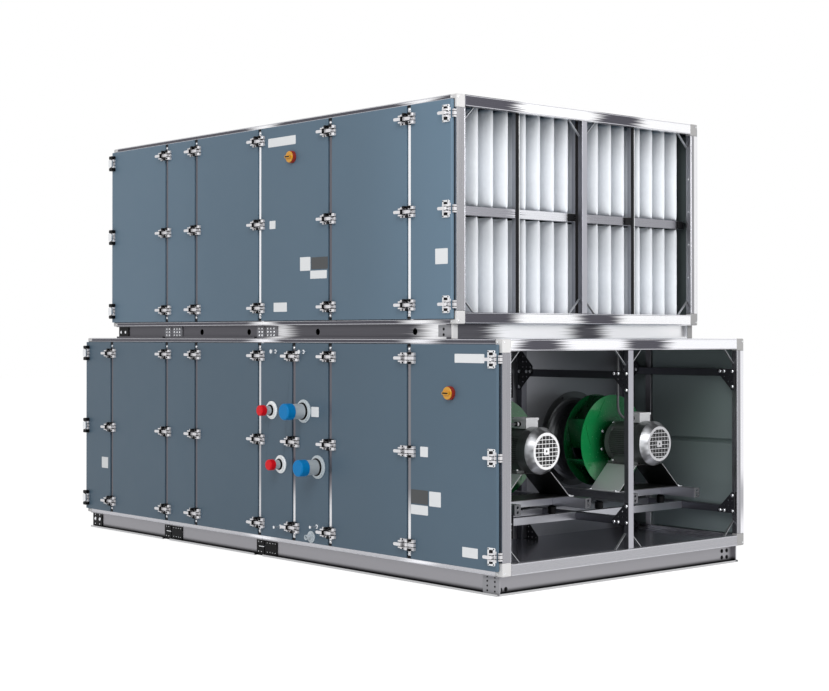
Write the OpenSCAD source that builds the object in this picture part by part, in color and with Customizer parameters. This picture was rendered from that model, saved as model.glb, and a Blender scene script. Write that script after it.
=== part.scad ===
// Two-tier air handling unit: a framed, panelled casing on base frames, with a filter bank at the
// open end of the upper tier and two plug fans in the open fan bay of the lower tier.
// X runs along the unit towards the open ends, the service side faces -Y, Z is up.
// The origin is on the floor below the middle of the unit's overall box.

/* [Casing] */
// Width of one casing module along the unit
module_w = 366; // [340:1:400]
// Frame left beyond the first and last module line at each end
end_margin = 16; // [10:1:30]
// Depth of the casing frame, from the service side to the rear
unit_d = 2100; // [2000:10:2300]
// Height of one tier's casing
tier_h = 1290; // [1270:10:1400]
// Height of the base frame under the lower tier
base_h = 110; // [80:1:160]
// Height of the base frame between the two tiers
mid_base_h = 84; // [76:1:120]

/* [Frame bars] */
// Width of a frame bar on the face that it frames
bar_w = 66; // [60:1:72]
// Depth of a frame bar behind that face
bar_t = 40; // [36:1:46]
// Length of a corner piece along the long rails
corner_l = 55; // [50:1:70]
// Height of a corner piece along the end posts
corner_h = 75; // [70:1:90]
// Gap between the frames of two delivery sections
section_gap = 2; // [1:0.5:4]
// Width of the post behind a panel seam
post_w = 44; // [40:1:48]
// Width of the raised strip on a seam post
strip_w = 26; // [18:1:26]
// Height of the raised strip over the frame's face
strip_t = 18; // [12:1:19]
// Width of the post in the middle of an end opening
bay_post_w = 45; // [40:1:60]
// Depth of the post in the middle of an end opening
bay_post_t = 34; // [24:1:38]

/* [Panels] */
// Thickness of a panel in front of the frame
skin_t = 25; // [20:1:30]
// Depth of a panel's insulated core behind the frame's face
core_t = 25; // [20:1:34]
// Clearance round a core inside the frame
core_gap = 4; // [3:0.5:6]
// Rail height that shows above and below the panels
rail_show = 29; // [24:1:36]
// Gap between two panels at a seam
seam_gap = 36; // [34:1:40]
// Frame width that shows beyond the last panel
edge_show = 20; // [18:1:26]
// Thickness of the floor and roof panels
deck_t = 40; // [30:1:50]
// Height of the joint between the stacked rear cores
rear_joint = 28; // [16:1:40]

/* [Fan door] */
// Clearance behind the door's skin, for its seal
door_seal = 5; // [5:0.5:8]
// Clearance round the door's core
door_gap = 10; // [9:0.5:14]
// Distance of the hinge axis in front of the frame's face
hinge_out = 42; // [40:1:50]
// Radius of a hinge pin
pin_r = 5; // [4:0.5:7]
// Radial clearance of a knuckle on its pin
pin_play = 0.06; // [0.02:0.01:0.1]
// Radius of a hinge knuckle
knuckle_r = 11; // [10:0.5:13]

/* [Clamps] */
// Height of a clamp
clamp_h = 62; // [50:1:70]
// Height of the first and last clamp from the tier's bottom and top
clamp_inset = 110; // [100:1:140]
// Thickness of a clamp's foot plates
foot_t = 8; // [6:1:12]
// Height of the clamp's lever
lever_h = 18; // [14:1:24]
// Length of the clamp's lever beyond its body
lever_l = 24; // [16:1:40]
// Thickness of the clamp's lever
lever_t = 9; // [7:1:12]
// Distance of the lever's face in front of the panel
lever_out = 40; // [36:1:46]

/* [Fans] */
// Distance of each fan axis from the unit's middle plane
fan_y = 494; // [480:1:510]
// Height of the fan axes over the bottom of the tier's frame
fan_z = 646; // [630:1:660]
// Distance of the motor cowls behind the open end
cowl_x = 210; // [190:1:240]
// Radius of the motor cowl
cowl_r = 136; // [130:1:142]
// Length of the motor cowl
cowl_l = 115; // [100:1:130]
// Length of the motor's ribbed housing
housing_l = 225; // [200:1:240]
// Radius of the housing under its ribs
housing_r = 108; // [100:1:112]
// Height of the cooling ribs
rib_h = 17; // [12:1:20]
// Number of cooling ribs on each side of the housing, less one
rib_count = 12; // [8:2:12]
// Height of the motor axis over its feet
shaft_height = 132; // [130:1:140]
// Radius of the motor shaft
shaft_r = 19; // [16:0.5:22]
// Radial clearance of the shaft in the motor's end shield
shaft_play = 0.08; // [0.02:0.01:0.1]
// Radius of the impeller
wheel_r = 290; // [270:1:300]
// Radius of the impeller's inlet eye
eye_r = 190; // [175:1:200]
// Width of the impeller at its rim
wheel_w = 150; // [130:1:160]
// Depth of the impeller's curved front shroud beyond the rim width
shroud_d = 36; // [28:1:44]
// Thickness of the impeller's sheet
wheel_t = 5; // [4:0.5:7]
// Number of impeller blades
blade_count = 7; // [5:1:9]
// Gap between the inlet cone and the impeller's eye
cone_gap = 7; // [6:0.5:10]

/* [Fan supports] */
// Width and height of the square support bars
support_s = 45; // [40:1:50]
// Height of the lower support bars over the bottom of the tier's frame
support_z = 203; // [180:1:220]
// Height of a vibration mount
mount_h = 55; // [45:1:60]
// Height of a fan frame's channels
channel_h = 60; // [50:1:66]
// Width of a fan frame's channels
channel_w = 50; // [44:1:54]
// Sheet thickness of the channels and pedestals
sheet_t = 4; // [3:0.5:6]
// Half the width of a pedestal at its top
pedestal_top = 123; // [119:1:130]
// Distance of a fan frame's long channels from the fan's axis
channel_off = 288; // [270:1:310]

/* [Filters] */
// Distance of the pocket tips behind the open end
filter_x = 74; // [66:1:110]
// Length of the filter pockets
pocket_l = 520; // [400:5:560]
// Width of a pocket at its tip
pocket_tip = 40; // [30:1:56]
// Gap between two pockets at their header
pocket_gap = 14; // [10:1:20]
// Height of the rail between the two filter rows
filter_rail_h = 52; // [44:1:60]
// Width of the bars between the filter columns
filter_bar_w = 22; // [16:1:28]

/* [Connections] */
// Outer radius of the heating coil's pipes
heat_r = 28; // [22:1:32]
// Outer radius of the cooling coil's pipes
cool_r = 47; // [40:1:50]
// Reach of the capped heating pipes in front of the panel
heat_reach = 102; // [95:1:125]
// Reach of the capped cooling pipes in front of the panel
cool_reach = 160; // [145:1:180]
// Radius of a lifting hole in the middle base frame
lift_r = 20; // [16:0.5:24]
// Radius of an isolator switch
switch_r = 39; // [34:1:42]

/* [Hidden] */
$fn = 64;

// Module lines with a panel seam, counted from the open end of the lower tier
lower_seams = [0, 2, 4, 5, 6, 8, 9, 11, 12];
upper_seams = [1, 2, 4, 6, 8, 9, 11];
// Module lines where the delivery sections meet
lower_sections = [0, 6, 9, 12];
upper_sections = [1, 6, 9, 11];
// Module line of the seam on the hinge side of the fan door
door_seam = 2;
// Module lines of the lifting holes
lift_lines = [8, 6.5, 4.5, 2];

function last(list) = list[len(list) - 1];
lower_l = last(lower_seams) * module_w + 2 * end_margin;
front_y = -(unit_d - cool_reach) / 2;
back_y = front_y + unit_d;
mid_y = front_y + unit_d / 2;
lower_z = base_h;
upper_z = base_h + tier_h + mid_base_h;
function seam_x(k) = lower_l / 2 - end_margin - k * module_w;
function right_x(seams) = seam_x(seams[0]) + end_margin;
function left_x(seams) = seam_x(last(seams)) - end_margin;
// Left and right edges of the panel between two module lines of a tier
function panel_left(seams, i) =
    i + 1 == len(seams) - 1 ? left_x(seams) + edge_show : seam_x(seams[i + 1]) + seam_gap / 2;
function panel_right(seams, i) =
    i == 0 ? right_x(seams) - edge_show : seam_x(seams[i]) - seam_gap / 2;
function core_left(seams, i, gap) =
    i + 1 == len(seams) - 1 ? left_x(seams) + bar_t + gap : seam_x(seams[i + 1]) + post_w / 2 + gap;
function core_right(seams, i, gap) =
    i == 0 ? right_x(seams) - bar_t - gap : seam_x(seams[i]) - post_w / 2 - gap;
lower_right = right_x(lower_seams);
upper_right = right_x(upper_seams);
panel_face = front_y - skin_t;

// A box between two corners
module box(a, b) { translate(a) cube(b - a); }

// Frame bars of one tier, between its corner pieces
module tier_frame(seams, sections, z0) {
    xr = right_x(seams);
    xl = left_x(seams);
    for (z = [z0, z0 + tier_h - bar_w]) {
        for (y = [front_y, back_y - bar_t], s = [0 : len(sections) - 2]) {
            a = s + 1 == len(sections) - 1 ? xl + corner_l : seam_x(sections[s + 1]) + section_gap / 2;
            b = s == 0 ? xr - corner_l : seam_x(sections[s]) - section_gap / 2;
            box([a, y, z], [b, y + bar_t, z + bar_w]);
        }
        for (x = [xl, xr - bar_t])
            box([x, front_y + bar_w, z], [x + bar_t, back_y - bar_w, z + bar_w]);
    }
    for (x = [xl, xr - bar_t], y = [front_y, back_y - bar_w])
        box([x, y, z0 + corner_h], [x + bar_t, y + bar_w, z0 + tier_h - corner_h]);
}

// One corner piece, standing at the origin and reaching inwards along +X, +Y and +Z
module corner_piece() {
    cube([corner_l, bar_t, bar_w]);
    cube([bar_t, bar_w, corner_h]);
}

// The eight corner pieces of one tier
module tier_corners(seams, z0) {
    xr = right_x(seams);
    xl = left_x(seams);
    for (x = [[xl, 0], [xr, 1]], y = [[front_y, 0], [back_y, 1]], z = [[z0, 0], [z0 + tier_h, 1]])
        translate([x[0], y[0], z[0]])
            mirror([x[1], 0, 0]) mirror([0, y[1], 0]) mirror([0, 0, z[1]]) corner_piece();
}

// Seam posts of one tier, with the raised strip that shows between two panels
module tier_posts(seams, z0) {
    for (i = [1 : len(seams) - 2], side = [0, 1])
        translate([seam_x(seams[i]), side == 0 ? front_y : back_y, 0]) mirror([0, side, 0]) {
            box([-post_w / 2, 0, z0 + bar_w], [post_w / 2, bar_t, z0 + tier_h - bar_w]);
            box([-strip_w / 2, -strip_t, z0 + rail_show],
                [strip_w / 2, 0, z0 + tier_h - rail_show]);
        }
}

// Floor or roof panels of one tier, one for each delivery section
module tier_deck(seams, sections, z) {
    for (s = [0 : len(sections) - 2]) {
        a = s + 1 == len(sections) - 1 ? left_x(seams) + bar_t : seam_x(sections[s + 1]) + section_gap / 2;
        b = s == 0 ? right_x(seams) - bar_t : seam_x(sections[s]) - section_gap / 2;
        box([a, front_y + bar_t, z], [b, back_y - bar_t, z + deck_t]);
    }
}

// One service panel: a skin over the frame and a core inside it
module service_panel(seams, i, z0) {
    box([panel_left(seams, i), panel_face, z0 + rail_show],
        [panel_right(seams, i), front_y, z0 + tier_h - rail_show]);
    box([core_left(seams, i, core_gap), front_y, z0 + bar_w + core_gap],
        [core_right(seams, i, core_gap), front_y + core_t, z0 + tier_h - bar_w - core_gap]);
}

// Rear panels of one tier: one skin each, over two stacked cores
module tier_rear(seams, z0) {
    for (i = [0 : len(seams) - 2]) {
        box([panel_left(seams, i), back_y, z0 + rail_show],
            [panel_right(seams, i), back_y + skin_t, z0 + tier_h - rail_show]);
        for (z = [[bar_w + core_gap, (tier_h - rear_joint) / 2],
                  [(tier_h + rear_joint) / 2, tier_h - bar_w - core_gap]])
            box([core_left(seams, i, core_gap), back_y - core_t, z0 + z[0]],
                [core_right(seams, i, core_gap), back_y, z0 + z[1]]);
    }
}

// Panels that close the left end of one tier, on both sides of its middle post
module tier_end_panels(seams, z0) {
    x = left_x(seams);
    for (y = [[front_y + bar_w, mid_y - bay_post_w / 2], [mid_y + bay_post_w / 2, back_y - bar_w]])
        box([x + end_inset, y[0], z0 + bar_w], [x + bar_t, y[1], z0 + tier_h - bar_w]);
}
// Distance of the end panels behind the frame's end face
end_inset = bar_t - bay_post_t;

// Channel with its open side towards -Y, its web at the back, along X from 0
module base_channel(l, h) {
    difference() {
        cube([l, base_web + base_sheet, h]);
        translate([-1, -1, base_sheet]) cube([l + 2, base_web + 1, h - 2 * base_sheet]);
    }
    cube([l, base_sheet, base_lip]);
}
// Depth of a base channel in front of its web, its sheet, and the lip on its bottom flange
base_web = 25;
base_sheet = 4;
base_lip = 12;
// Distance of a base frame's ends behind the casing's ends
base_end = 45;

function base_left(seams, sections, s) = s + 1 == len(sections) - 1
    ? left_x(seams) + base_end : seam_x(sections[s + 1]) + section_gap;
function base_right(seams, sections, s) = s == 0
    ? right_x(seams) - base_end : seam_x(sections[s]) - section_gap;

// Long beams of a base frame, one pair for each delivery section
module base_beams(seams, sections, z, h) {
    for (s = [0 : len(sections) - 2], side = [0, 1]) {
        a = base_left(seams, sections, s);
        b = base_right(seams, sections, s);
        translate([a, side == 0 ? front_y : back_y, z]) mirror([0, side, 0]) difference() {
            base_channel(b - a, h);
            if (s > 0) translate([b - a - notch_l, -1, -1])
                cube([notch_l + 1, base_web + 1, base_lip + 2]);
        }
    }
}
// Length of a beam's bottom flange that is cut back at a joint
notch_l = 88;

// Cross channels of a base frame at both ends of each section, between the webs of the long beams
module base_crossbars(seams, sections, z, h) {
    l = unit_d - 2 * (base_web + base_sheet);
    for (s = [0 : len(sections) - 2])
        for (end = [0, 1])
            translate([end == 0 ? base_left(seams, sections, s) : base_right(seams, sections, s),
                       mid_y, z])
                mirror([end, 0, 0]) translate([0, l / 2, 0]) rotate([0, 0, -90]) base_channel(l, h);
}

module lower_base_beams() { color("silver") base_beams(lower_seams, lower_sections, 0, base_h); }
module lower_base_crossbars() { color("silver") base_crossbars(lower_seams, lower_sections, 0, base_h); }

module middle_base_beams() {
    color("silver") difference() {
        base_beams(upper_seams, upper_sections, base_h + tier_h, mid_base_h);
        for (k = lift_lines)
            translate([seam_x(k), front_y - 1, lift_z]) rotate([-90, 0, 0])
                cylinder(r = lift_r, h = unit_d + 2);
    }
}
lift_z = base_h + tier_h + mid_base_h / 2;
module middle_base_crossbars() {
    color("silver") base_crossbars(upper_seams, upper_sections, base_h + tier_h, mid_base_h);
}

// Black bracket plates inside the base channels: a long one at each end and on the right of each
// joint, and a short one on the left of each joint
bracket_l = 130;
bracket_gap = 6;
bracket_t = 6;
module base_bracket_row(seams, sections, z, h) {
    for (s = [0 : len(sections) - 1], side = [0, 1]) {
        first = s == 0;
        final = s == len(sections) - 1;
        x = first ? right_x(seams) - base_end : final ? left_x(seams) + base_end : seam_x(sections[s]);
        spans = first ? [[-bracket_l, 0]] : final ? [[0, bracket_l]]
            : [[-notch_l, -bracket_gap], [bracket_gap, bracket_l]];
        for (p = spans) translate([x, side == 0 ? front_y : back_y, z]) mirror([0, side, 0])
            box([p[0], base_web - bracket_t, base_sheet], [p[1], base_web, h - base_sheet]);
    }
}
module base_brackets() {
    color("black") {
        base_bracket_row(lower_seams, lower_sections, 0, base_h);
        base_bracket_row(upper_seams, upper_sections, base_h + tier_h, mid_base_h);
    }
}

module lower_frame() { color("lightgray") tier_frame(lower_seams, lower_sections, lower_z); }
module upper_frame() { color("lightgray") tier_frame(upper_seams, upper_sections, upper_z); }
module corner_pieces() {
    color("gainsboro") {
        tier_corners(lower_seams, lower_z);
        tier_corners(upper_seams, upper_z);
    }
}
module lower_posts() { color("silver") tier_posts(lower_seams, lower_z); }
module upper_posts() { color("silver") tier_posts(upper_seams, upper_z); }

// Posts in the middle of the end openings
module bay_posts() {
    color("silver") for (t = [[lower_seams, lower_z], [upper_seams, upper_z]])
        for (x = [left_x(t[0]) + end_inset, right_x(t[0]) - bar_t])
            box([x, mid_y - bay_post_w / 2, t[1] + bar_w],
                [x + bay_post_t, mid_y + bay_post_w / 2, t[1] + tier_h - bar_w]);
}

// Flat strips across the corners of the end openings
brace_l = 90;
brace_t = 5;
brace_w = 14;
brace_x = bar_t - brace_w;
module corner_braces() {
    color("silver") for (t = [[lower_seams, lower_z], [upper_seams, upper_z]])
        for (y = [[front_y + bar_w, 0], [mid_y - bay_post_w / 2, 1],
                  [mid_y + bay_post_w / 2, 0], [back_y - bar_w, 1]], z = [0, 1])
            translate([right_x(t[0]) - brace_x - brace_w, y[0],
                       t[1] + (z == 0 ? bar_w : tier_h - bar_w)])
                mirror([0, y[1], 0]) mirror([0, 0, z]) rotate([90, 0, 90]) linear_extrude(brace_w)
                    polygon([[0, brace_l], [0, brace_l - brace_t], [brace_l - brace_t, 0], [brace_l, 0]]);
}

module floor_panels() {
    color("gray") {
        tier_deck(lower_seams, lower_sections, lower_z);
        tier_deck(upper_seams, upper_sections, upper_z);
    }
}
module roof_panels() {
    color("slategray") {
        tier_deck(lower_seams, lower_sections, lower_z + tier_h - deck_t);
        tier_deck(upper_seams, upper_sections, upper_z + tier_h - deck_t);
    }
}
module rear_panels() {
    color("slategray") {
        tier_rear(lower_seams, lower_z);
        tier_rear(upper_seams, upper_z);
    }
}
module end_panels() {
    color("slategray") {
        tier_end_panels(lower_seams, lower_z);
        tier_end_panels(upper_seams, upper_z);
    }
}

// The service panel between the first two seams of the lower tier is the fan door
module lower_service_panels() {
    color("slategray") difference() {
        for (i = [1 : len(lower_seams) - 2]) service_panel(lower_seams, i, lower_z);
        pipe_holes();
    }
}
module upper_service_panels() {
    color("slategray") for (i = [0 : len(upper_seams) - 2]) service_panel(upper_seams, i, upper_z);
}

module fan_door() {
    color("slategray") {
        box([panel_left(lower_seams, 0), panel_face, lower_z + rail_show],
            [panel_right(lower_seams, 0), front_y - door_seal, lower_z + tier_h - rail_show]);
        box([core_left(lower_seams, 0, door_gap), front_y - door_seal, lower_z + bar_w + door_gap],
            [core_right(lower_seams, 0, door_gap), front_y + core_t,
             lower_z + tier_h - bar_w - door_gap]);
    }
}

// Clamps: each holds the free edge of the panel on its left and hinges the panel on its right.
// A clamp is drawn about its seam, on the panels' face, with the outside towards -Y.
function clamp_zs(z0) = [z0 + clamp_inset, z0 + tier_h / 2, z0 + tier_h - clamp_inset];
latch_w = 46;
hinge_w = 40;
body_h = 44;
// Distance of a clamp's feet from the panel's edge
foot_gap = 2;

// Latch half: foot, two cheeks, a pin through them and the lever, with its right edge at 0
cheek_t = 9;
cheek_inset = 7;
latch_pin_r = 5;
module latch_half() {
    tip = -latch_w - lever_l + lever_h / 2;
    box([-latch_w, -foot_t, -clamp_h / 2], [0, 0, clamp_h / 2]);
    for (z = [-body_h / 2, body_h / 2 - cheek_t])
        box([-latch_w + cheek_inset, -lever_out + lever_t, z], [-cheek_inset, 0, z + cheek_t]);
    translate([-latch_w / 2, -lever_out + lever_t + latch_pin_r, -body_h / 2])
        cylinder(r = latch_pin_r, h = body_h);
    box([tip, -lever_out, -lever_h / 2], [-cheek_inset, -lever_out + lever_t, lever_h / 2]);
    translate([tip, -lever_out + lever_t, 0]) rotate([90, 0, 0]) cylinder(r = lever_h / 2, h = lever_t);
    translate([-latch_w / 2, 0, 0]) rotate([90, 0, 0]) cylinder(r = lever_h / 2 - 2, h = lever_out - 2);
}
// Hinge half: foot and two knuckle lugs, with its left edge at 0
lug_h = 18;
lug_r = 11;
lug_inset = 12;
module hinge_half() {
    box([0, -foot_t, -clamp_h / 2], [hinge_w, 0, clamp_h / 2]);
    for (z = [-clamp_h / 2, clamp_h / 2 - lug_h]) {
        box([0, -2 * lug_r, z], [hinge_w - lug_inset, 0, z + lug_h]);
        translate([hinge_w - lug_inset, -lug_r, z]) cylinder(r = lug_r, h = lug_h);
    }
}
// Hook that links both halves over the seam, round at both ends
bridge_t = 26;
bridge_on_latch = 12;
bridge_on_hinge = 20;
module clamp_bridge(a, b) {
    r = body_h / 2 - cheek_t;
    box([a + r, -bridge_t, -r], [b - r, -foot_t / 2, r]);
    for (x = [a + r, b - r]) translate([x, -foot_t / 2, 0]) rotate([90, 0, 0])
        cylinder(r = r, h = bridge_t - foot_t / 2);
}

module full_clamp() {
    g = seam_gap / 2 + foot_gap;
    translate([-g, 0, 0]) latch_half();
    translate([g, 0, 0]) hinge_half();
    clamp_bridge(-g - bridge_on_latch, g + bridge_on_hinge);
}
// Clamps of one tier at its inner seams and its left edge
module tier_clamps(seams, z0, from) {
    for (z = clamp_zs(z0)) {
        for (i = [from : len(seams) - 2]) translate([seam_x(seams[i]), panel_face, z]) full_clamp();
        translate([left_x(seams) + edge_show + foot_gap, panel_face, z]) hinge_half();
    }
}
// Keeper on the end post, beside a panel's free edge
keeper_gap = 5;
keeper_t = 20;
module keeper(seams, z) {
    x = right_x(seams);
    box([x - edge_show + keeper_gap, front_y - keeper_t, z - body_h / 2], [x - 1, front_y, z + body_h / 2]);
}

module lower_clamps() {
    color("lightgray") {
        tier_clamps(lower_seams, lower_z, 2);
        for (z = clamp_zs(lower_z))
            translate([seam_x(door_seam) - seam_gap / 2 - foot_gap, panel_face, z]) latch_half();
    }
}
module upper_clamps() {
    color("lightgray") {
        tier_clamps(upper_seams, upper_z, 1);
        for (z = clamp_zs(upper_z)) {
            translate([upper_right - edge_show - foot_gap, panel_face, z]) latch_half();
            keeper(upper_seams, z);
        }
    }
}

// Fan door fittings: hinge leaves on its left edge and latches on its right edge
axis_x = seam_x(door_seam);
axis_y = front_y - hinge_out;
leaf_h = 24;
ear_gap = 2;
module fan_door_fittings() {
    color("lightgray") for (z = clamp_zs(lower_z)) {
        translate([lower_right - edge_show - foot_gap, panel_face, z]) latch_half();
        difference() {
            union() {
                translate([axis_x, axis_y, z - leaf_h / 2]) cylinder(r = knuckle_r, h = leaf_h);
                box([axis_x, axis_y, z - leaf_h / 2], [axis_x + leaf_l, axis_y + foot_t, z + leaf_h / 2]);
                box([panel_left(lower_seams, 0) + foot_gap, axis_y, z - clamp_h / 2],
                    [axis_x + leaf_l, panel_face, z + clamp_h / 2]);
            }
            translate([axis_x, axis_y, z - leaf_h]) cylinder(r = pin_r + pin_play, h = 2 * leaf_h);
        }
    }
}
leaf_l = 62;

// Fixed hinge brackets with their pins, on the seam post, and keepers on the end post
module fan_door_brackets() {
    ear_h = clamp_h / 2 - leaf_h / 2 - ear_gap;
    color("lightgray") for (z = clamp_zs(lower_z)) {
        keeper(lower_seams, z);
        translate([axis_x, axis_y, z - clamp_h / 2]) cylinder(r = pin_r, h = clamp_h);
        for (e = [z - clamp_h / 2, z + leaf_h / 2 + ear_gap]) {
            translate([axis_x, axis_y, e]) cylinder(r = knuckle_r, h = ear_h);
            box([axis_x - knuckle_r, axis_y, e], [axis_x + knuckle_r, front_y - strip_t, e + ear_h]);
        }
        box([axis_x - knuckle_r, front_y - strip_t - foot_t, z - clamp_h / 2],
            [axis_x + knuckle_r, front_y - strip_t, z + clamp_h / 2]);
    }
}

// Fan section: places are measured back from the open end of the lower tier
fan_axes = [mid_y - fan_y, mid_y + fan_y];
axis_z = lower_z + fan_z;
inner_front = front_y + bar_t;
inner_back = back_y - bar_t;
deck_top = lower_z + deck_t;
roof_under = lower_z + tier_h - deck_t;
cowl_end = lower_right - cowl_x - cowl_l;
motor_end = cowl_end - housing_l;
// Gap between the motor's end shield and the impeller's back
wheel_gap = 44;
wheel_back = motor_end - wheel_gap;
rim_x = wheel_back - wheel_w;
eye_x = rim_x - shroud_d;
// Length of an inlet cone, and how far it reaches into the impeller's eye
cone_l = 170;
cone_lap = 20;
wall_x = eye_x - cone_l + cone_lap;
wall_t = 40;
cone_mouth = 275;
cone_neck = 40;
cone_flange = 40;
flange_lap = 12;
rear_post = 45;

// Wall behind the fans, with a round hole for each inlet cone
module fan_wall() {
    color("gray") difference() {
        box([wall_x - wall_t, inner_front, deck_top], [wall_x, inner_back, roof_under]);
        for (y = fan_axes) translate([wall_x - wall_t - 1, y, axis_z]) rotate([0, 90, 0])
            cylinder(r = cone_mouth, h = wall_t + 2);
    }
}

// Bell-mouthed inlet cone, seated on the wall's face and reaching into the impeller's eye
module inlet_cones() {
    throat = eye_r - cone_gap - sheet_t;
    bend = cone_l - cone_neck;
    color("silver") for (y = fan_axes) translate([wall_x, y, axis_z]) rotate([0, 90, 0])
        rotate_extrude() {
            translate([cone_mouth - flange_lap, 0]) square([cone_flange, sheet_t]);
            polygon(concat(
                [for (a = [0 : 10 : 90])
                    [throat + (cone_mouth - throat) * (1 - sin(a)), bend * (1 - cos(a))]],
                [[throat, cone_l], [throat + sheet_t, cone_l]],
                [for (a = [90 : -10 : 0])
                    [throat + sheet_t + (cone_mouth - throat) * (1 - sin(a)), bend * (1 - cos(a))]]));
        }
}

// Posts in front of the fan wall, and the long bars between them and the open end's posts
top_bar_drop = 235;
top_bar_z = tier_h - top_bar_drop;
bay_lines = [inner_front, mid_y - support_s / 2, inner_back - support_s];
module fan_wall_posts() {
    color("dimgray") for (y = bay_lines)
        box([wall_x, y, deck_top], [wall_x + rear_post, y + support_s, roof_under]);
}
module fan_bay_bars() {
    color("dimgray") for (y = bay_lines, z = [support_z, top_bar_z])
        box([wall_x + rear_post, y, lower_z + z],
            [lower_right - bar_t, y + support_s, lower_z + z + support_s]);
}

// Triangular plates on the sides of posts and long bars, and at the feet and tops of the rear posts
gusset_l = 130;
gusset_t = 4;
gusset_tip = 20;
gusset_hole = 5;
gusset_pitch = 32;
gusset_edge = 14;
module gusset() {
    rotate([90, 0, 0]) linear_extrude(gusset_t) difference() {
        polygon([[0, 0], [gusset_l, 0], [gusset_l, gusset_tip], [gusset_tip, gusset_l], [0, gusset_l]]);
        for (i = [0 : 3], j = [0 : 3 - i])
            translate([gusset_edge + i * gusset_pitch, gusset_edge + j * gusset_pitch])
                circle(r = gusset_hole, $fn = 12);
    }
}
module gusset_plates() {
    rear_x = wall_x + rear_post - bay_post_t;
    front_x = lower_right - bar_t + bay_post_t;
    bar_top = lower_z + top_bar_z + support_s;
    color("gray") for (i = [0 : 2]) {
        near_side = bay_lines[i];
        far_side = bay_lines[i] + support_s + gusset_t;
        y = i == 0 ? far_side : near_side;
        for (z = [[lower_z + support_z, 0], [bar_top, 1]]) {
            translate([rear_x, y, z[0]]) mirror([0, 0, z[1]]) gusset();
            translate([front_x, y, z[0]]) mirror([1, 0, 0]) mirror([0, 0, z[1]]) gusset();
        }
        translate([rear_x, y, bar_top]) gusset();
        translate([rear_x, i == 2 ? near_side : far_side, deck_top]) gusset();
    }
}

// Cross bars that carry the fans, between the long bars
front_support = 470;
rear_support = 200;
support_xs = [lower_right - front_support, motor_end - rear_support];
module support_bars() {
    color("silver") for (x = support_xs, i = [0, 1])
        box([x, bay_lines[i] + support_s, lower_z + support_z],
            [x + support_s, bay_lines[i + 1], lower_z + support_z + support_s]);
}

// Rubber and steel vibration mounts under the fan frames' long channels
mount_r = 26;
mount_z = lower_z + support_z + support_s;
module vibration_mounts() {
    color("dimgray") for (y = fan_axes, x = support_xs, side = [-1, 1])
        translate([x + support_s / 2, y + side * channel_off, mount_z]) rotate_extrude()
            polygon([[0, 0], [mount_r - 4, 0], [mount_r - 4, 5], [mount_r, 8], [mount_r, mount_h - 14],
                     [mount_r - 8, mount_h - 6], [mount_r - 12, mount_h], [0, mount_h]]);
}

// Fan frame: two long channels that open outwards, with a holed plate on their front ends, and
// two cross bars
frame_z = mount_z + mount_h;
frame_inset = 154;
frame_tail = 240;
frame_front = lower_right - frame_inset;
frame_back = motor_end - frame_tail;
module channel_bar(l) {
    difference() {
        translate([0, -channel_w / 2, 0]) cube([l, channel_w, channel_h]);
        translate([-1, -channel_w / 2 - 1, sheet_t])
            cube([l + 2, channel_w - sheet_t + 1, channel_h - 2 * sheet_t]);
    }
    difference() {
        translate([l - sheet_t, -channel_w / 2, 0]) cube([sheet_t, channel_w, channel_h]);
        for (side = [-1, 1])
            translate([l - sheet_t - 1, 0, channel_h / 2 + side * plate_pitch / 2])
                rotate([0, 90, 0]) cylinder(r = plate_hole, h = sheet_t + 2);
    }
}
plate_pitch = 28;
plate_hole = 8;
module fan_frame_channels() {
    color("silver") for (y = fan_axes, side = [0, 1])
        translate([frame_back, y, frame_z]) mirror([0, side, 0]) translate([0, -channel_off, 0])
            channel_bar(frame_front - frame_back);
}
crossbar_h = 56;
// Clearance between the impeller's back and the rear cross bar
crossbar_gap = 22;
module fan_frame_crossbars() {
    inner = channel_off - channel_w / 2;
    color("silver") for (y = fan_axes, x = [support_xs[0], wheel_back + crossbar_gap])
        box([x, y - inner, pedestal_z - crossbar_h], [x + channel_w, y + inner, pedestal_z]);
}

// Pedestal: a folded sheet with sloping side plates between the fan frame and the motor's feet,
// open on top under the motor's cowl
foot_z = axis_z - shaft_height;
pedestal_z = frame_z + channel_h;
pedestal_inset = 138;
pedestal_front = frame_front - pedestal_inset;
// Distance of the motor's rear feet from its drive end
feet_end = 20;
pedestal_back = motor_end + feet_end;
flange_w = 36;
foot_edge = 2;
pedestal_foot = channel_off + channel_w / 2 - foot_edge;
cowl_room = 5;
module motor_pedestals() {
    h = foot_z - pedestal_z;
    inner = pedestal_foot - flange_w;
    side_t = 2 * sheet_t;
    color("gray") for (y = fan_axes) translate([0, y, pedestal_z]) difference() {
        translate([pedestal_back, 0, 0]) rotate([90, 0, 90])
            linear_extrude(pedestal_front - pedestal_back) difference() {
                polygon([[-pedestal_foot, 0], [-pedestal_foot, sheet_t], [-inner, sheet_t],
                    [-pedestal_top, h], [pedestal_top, h], [inner, sheet_t],
                    [pedestal_foot, sheet_t], [pedestal_foot, 0]]);
                polygon([[side_t - inner, sheet_t], [sheet_t - pedestal_top, h - sheet_t],
                    [pedestal_top - sheet_t, h - sheet_t], [inner - side_t, sheet_t]]);
            }
        translate([cowl_end - cowl_room, side_t - pedestal_top, h - side_t])
            cube([pedestal_front - pedestal_back, 2 * (pedestal_top - side_t), 2 * side_t]);
    }
}

// Motor: fan cowl with a slotted end, ribbed housing, end shield with a shaft bore, and feet
cowl_edge = 30;
slot_w = 9;
slot_pitch = 14;
slot_h = 6;
slot_row = 12;
motor_feet = 116;
slot_d = 8;
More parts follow.
